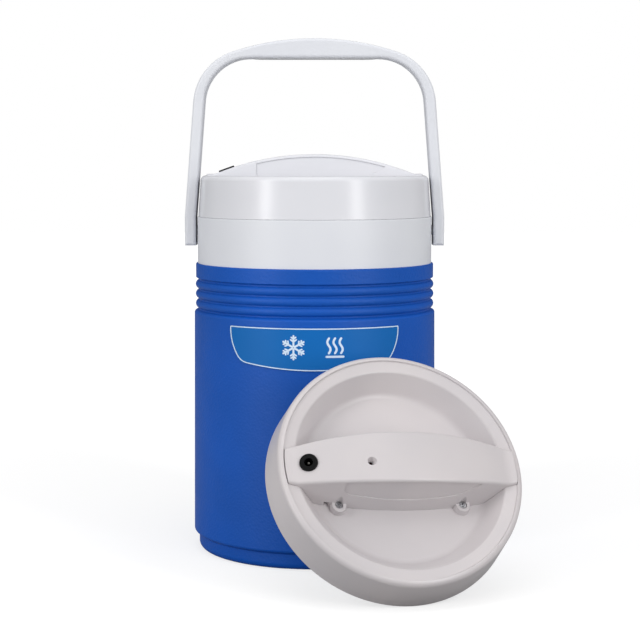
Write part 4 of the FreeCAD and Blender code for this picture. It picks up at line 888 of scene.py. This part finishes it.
@dataclass
class Lid:
    """One lid with its bar, socket and the pump inside it.

    Attributes:
        prefix: What its nodes' names start with.
        white: The finish of its shell and bar.
        finishes: Node to finish, for the rest.
    """

    prefix: str = ""
    white: Finish = LID_WHITE
    finishes: dict[str, Finish] = field(default_factory=lambda: {
        "lid_liner": LINER_WHITE,
        "lid_foam": FOAM,
        "lid_gasket": WHITE_RUBBER,
        "bar_screws": STEEL,
        "power_jack": BLACK_NYLON,
        "jack_pin": NICKEL,
        "pump_motor": STEEL,
        "motor_cradle": BLACK_NYLON,
        "pump_head": BLACK_NYLON,
        "pump_diaphragm": BLACK_RUBBER,
        "pump_crank": STEEL,
        "control_board": BOARD_GREEN,
        "air_nozzle": SMOOTH_WHITE,
        "nozzle_nut": SMOOTH_WHITE,
        "air_tube": WHITE_RUBBER,
        "jack_wires": WIRE_RED,
        "motor_wires": WIRE_RED,
    })

    def build(self) -> None:
        """Dress the lid."""
        for node, finish in {"lid_shell": self.white, "lid_bar": self.white, **self.finishes}.items():
            Workshop.dress(self.prefix + node, finish)


# ------------------------------------------------------------------ the studio
@dataclass
class Softbox:
    """One lamp: a soft rectangle that looks at the jug.

    Attributes:
        name: The lamp's name.
        azimuth: Its bearing from the front, to the right, in degrees.
        distance: How far out it stands.
        height: How high it hangs.
        width: Its width.
        tall: Its height as a rectangle.
        watts: Its power.
        aim: The height that it looks at.
    """

    name: str
    azimuth: float
    distance: float
    height: float
    width: float
    tall: float
    watts: float
    aim: float = 0.2

    def build(self) -> None:
        """Hang the lamp."""
        light = bpy.data.lights.new(self.name, "AREA")
        light.shape = "RECTANGLE"
        light.size, light.size_y = self.width, self.tall
        light.energy = self.watts
        lamp = bpy.data.objects.new(self.name, light)
        turn = math.radians(self.azimuth)
        lamp.location = (self.distance * math.sin(turn), -self.distance * math.cos(turn), self.height)
        way = Vector((0, 0, self.aim)) - lamp.location
        lamp.rotation_euler = way.to_track_quat("-Z", "Y").to_euler()
        bpy.context.scene.collection.objects.link(lamp)


@dataclass
class Studio:
    """A white sweep, soft lamps and the camera.

    Attributes:
        lamps: The lamps.
        sky: Strength of the white surroundings as light.
        mirrored_sky: Their strength in reflections.
        floor_size: Side of the floor.
        floor_white: How white the paper is to the camera.
        bounce: How white it is to light that bounces off it, so that little comes back up.
        paper_grain: Size of the paper's flecks.
        paper_roughness: Its roughness in the flecks and between them.
        glow_strength: Strength of the glow that keeps it white.
        floor_glow: The glow's share round the jug, where shadows still have to show.
        fade_start: From here the glow's share grows.
        fade_end: From here the floor is all glow.
        camera_at: Where the camera stands.
        camera_pitch: How far it looks down, in degrees.
        lens: Its focal length in mm.
        sensor: Its sensor's width in mm.
        nearest: The nearest thing that it sees.
    """

    lamps: list[Softbox] = field(default_factory=lambda: [
        Softbox("left_strip", -47, 1.5, 0.55, 0.30, 1.3, 9.0),
        Softbox("right_strip", 41, 1.5, 0.55, 0.30, 1.3, 8.5),
        Softbox("top_box", 10, 0.5, 1.9, 1.6, 1.6, 10.0),
    ])
    sky: float = 0.5
    mirrored_sky: float = 0.14
    floor_size: float = 12.0
    floor_white: float = 0.95
    bounce: float = 0.5
    paper_grain: float = 3 * MM
    paper_roughness: Pair = (0.8, 0.95)
    glow_strength: float = 1.1
    floor_glow: float = 0.6
    fade_start: float = 0.3
    fade_end: float = 1.2
    camera_at: tuple[float, float, float] = (0.004429, -1.36751, 0.31890)
    camera_pitch: float = 5.489
    lens: float = 93.427
    sensor: float = 36.0
    nearest: float = 0.05

    def world(self) -> None:
        """Surround the scene with white: plain to the camera, softer as light and dim in reflections."""
        world = bpy.data.worlds.new("studio")
        bpy.context.scene.world = world
        world.use_nodes = True
        tree = world.node_tree
        tree.nodes.clear()
        path = add_node(tree, "LightPath").outputs
        light = add_node(tree, "MapRange", {"Value": path["Is Glossy Ray"], "To Min": self.sky,
                                            "To Max": self.mirrored_sky}).outputs[0]
        lift = add_node(tree, "MapRange", {"Value": path["Is Camera Ray"],
                                           "To Max": 1.0 - self.sky}).outputs[0]
        strength = add_node(tree, "Math", {0: light, 1: lift}, operation="ADD").outputs[0]
        back = add_node(tree, "Background", {"Color": linear("#FFFFFF"), "Strength": strength})
        add_node(tree, "OutputWorld", {"Surface": back.outputs[0]})

    def paper(self) -> bpy.types.Material:
        """Make the floor's white paper, which glows where no shadow falls.

        Returns:
            The material.
        """
        material, tree = blank_material("white_sweep")
        place = add_node(tree, "TexCoord").outputs["Object"]
        fleck = add_node(tree, "TexNoise", {"Vector": place, "Scale": 1 / self.paper_grain,
                                            "Detail": 2.0}).outputs["Fac"]
        low, high = self.paper_roughness
        sheen = add_node(tree, "MapRange", {"Value": fleck, "To Min": low, "To Max": high}).outputs[0]
        seen = add_node(tree, "LightPath").outputs["Is Camera Ray"]
        tone = add_node(tree, "MapRange", {"Value": seen, "To Min": self.bounce,
                                           "To Max": self.floor_white}).outputs[0]
        plain = add_node(tree, "BsdfDiffuse", {"Color": tone, "Roughness": sheen})
        glow = add_node(tree, "Emission", {"Color": linear("#FFFFFF"), "Strength": self.glow_strength})
        away = add_node(tree, "VectorMath", {0: place}, operation="LENGTH").outputs["Value"]
        fade = add_node(tree, "MapRange", {"Value": away, "From Min": self.fade_start,
                                           "From Max": self.fade_end, "To Min": self.floor_glow},
                        interpolation_type="SMOOTHSTEP").outputs[0]
        share = add_node(tree, "Math", {0: seen, 1: fade}, operation="MULTIPLY").outputs[0]
        both = add_node(tree, "MixShader", {0: share, 1: plain.outputs[0], 2: glow.outputs[0]})
        add_node(tree, "OutputMaterial", {"Surface": both.outputs[0]})
        return material

    def floor(self) -> None:
        """Lay the white floor."""
        bm = bmesh.new()
        bmesh.ops.create_grid(bm, x_segments=8, y_segments=8, size=self.floor_size / 2)
        mesh = bpy.data.meshes.new("floor")
        bm.to_mesh(mesh)
        bm.free()
        mesh.materials.append(self.paper())
        floor = bpy.data.objects.new("floor", mesh)
        bpy.context.scene.collection.objects.link(floor)

    def camera(self) -> None:
        """Set the camera at the height and tilt of a table-top shot."""
        data = bpy.data.cameras.new("camera")
        data.lens = self.lens
        data.sensor_width = self.sensor
        data.clip_start = self.nearest
        camera = bpy.data.objects.new("camera", data)
        camera.location = self.camera_at
        camera.rotation_euler = (math.radians(90 - self.camera_pitch), 0, 0)
        bpy.context.scene.collection.objects.link(camera)
        bpy.context.scene.camera = camera

    def build(self) -> None:
        """Set the studio up."""
        bpy.context.scene.view_settings.view_transform = "Standard"
        self.world()
        self.floor()
        self.camera()
        for lamp in self.lamps:
            lamp.build()
        log.info("studio with %d lamps", len(self.lamps))


def main() -> None:
    """Build the looks."""
    logging.basicConfig(level=logging.INFO, format="%(name)s: %(message)s")
    Studio().build()
    Cooler().build()
    Lid().build()
    # The spare lid takes the shaded copy of the lid's white, which is painted shade.
    Lid("spare_", SHADED_SPARE_WHITE).build()


if __name__ == "__main__":
    main()
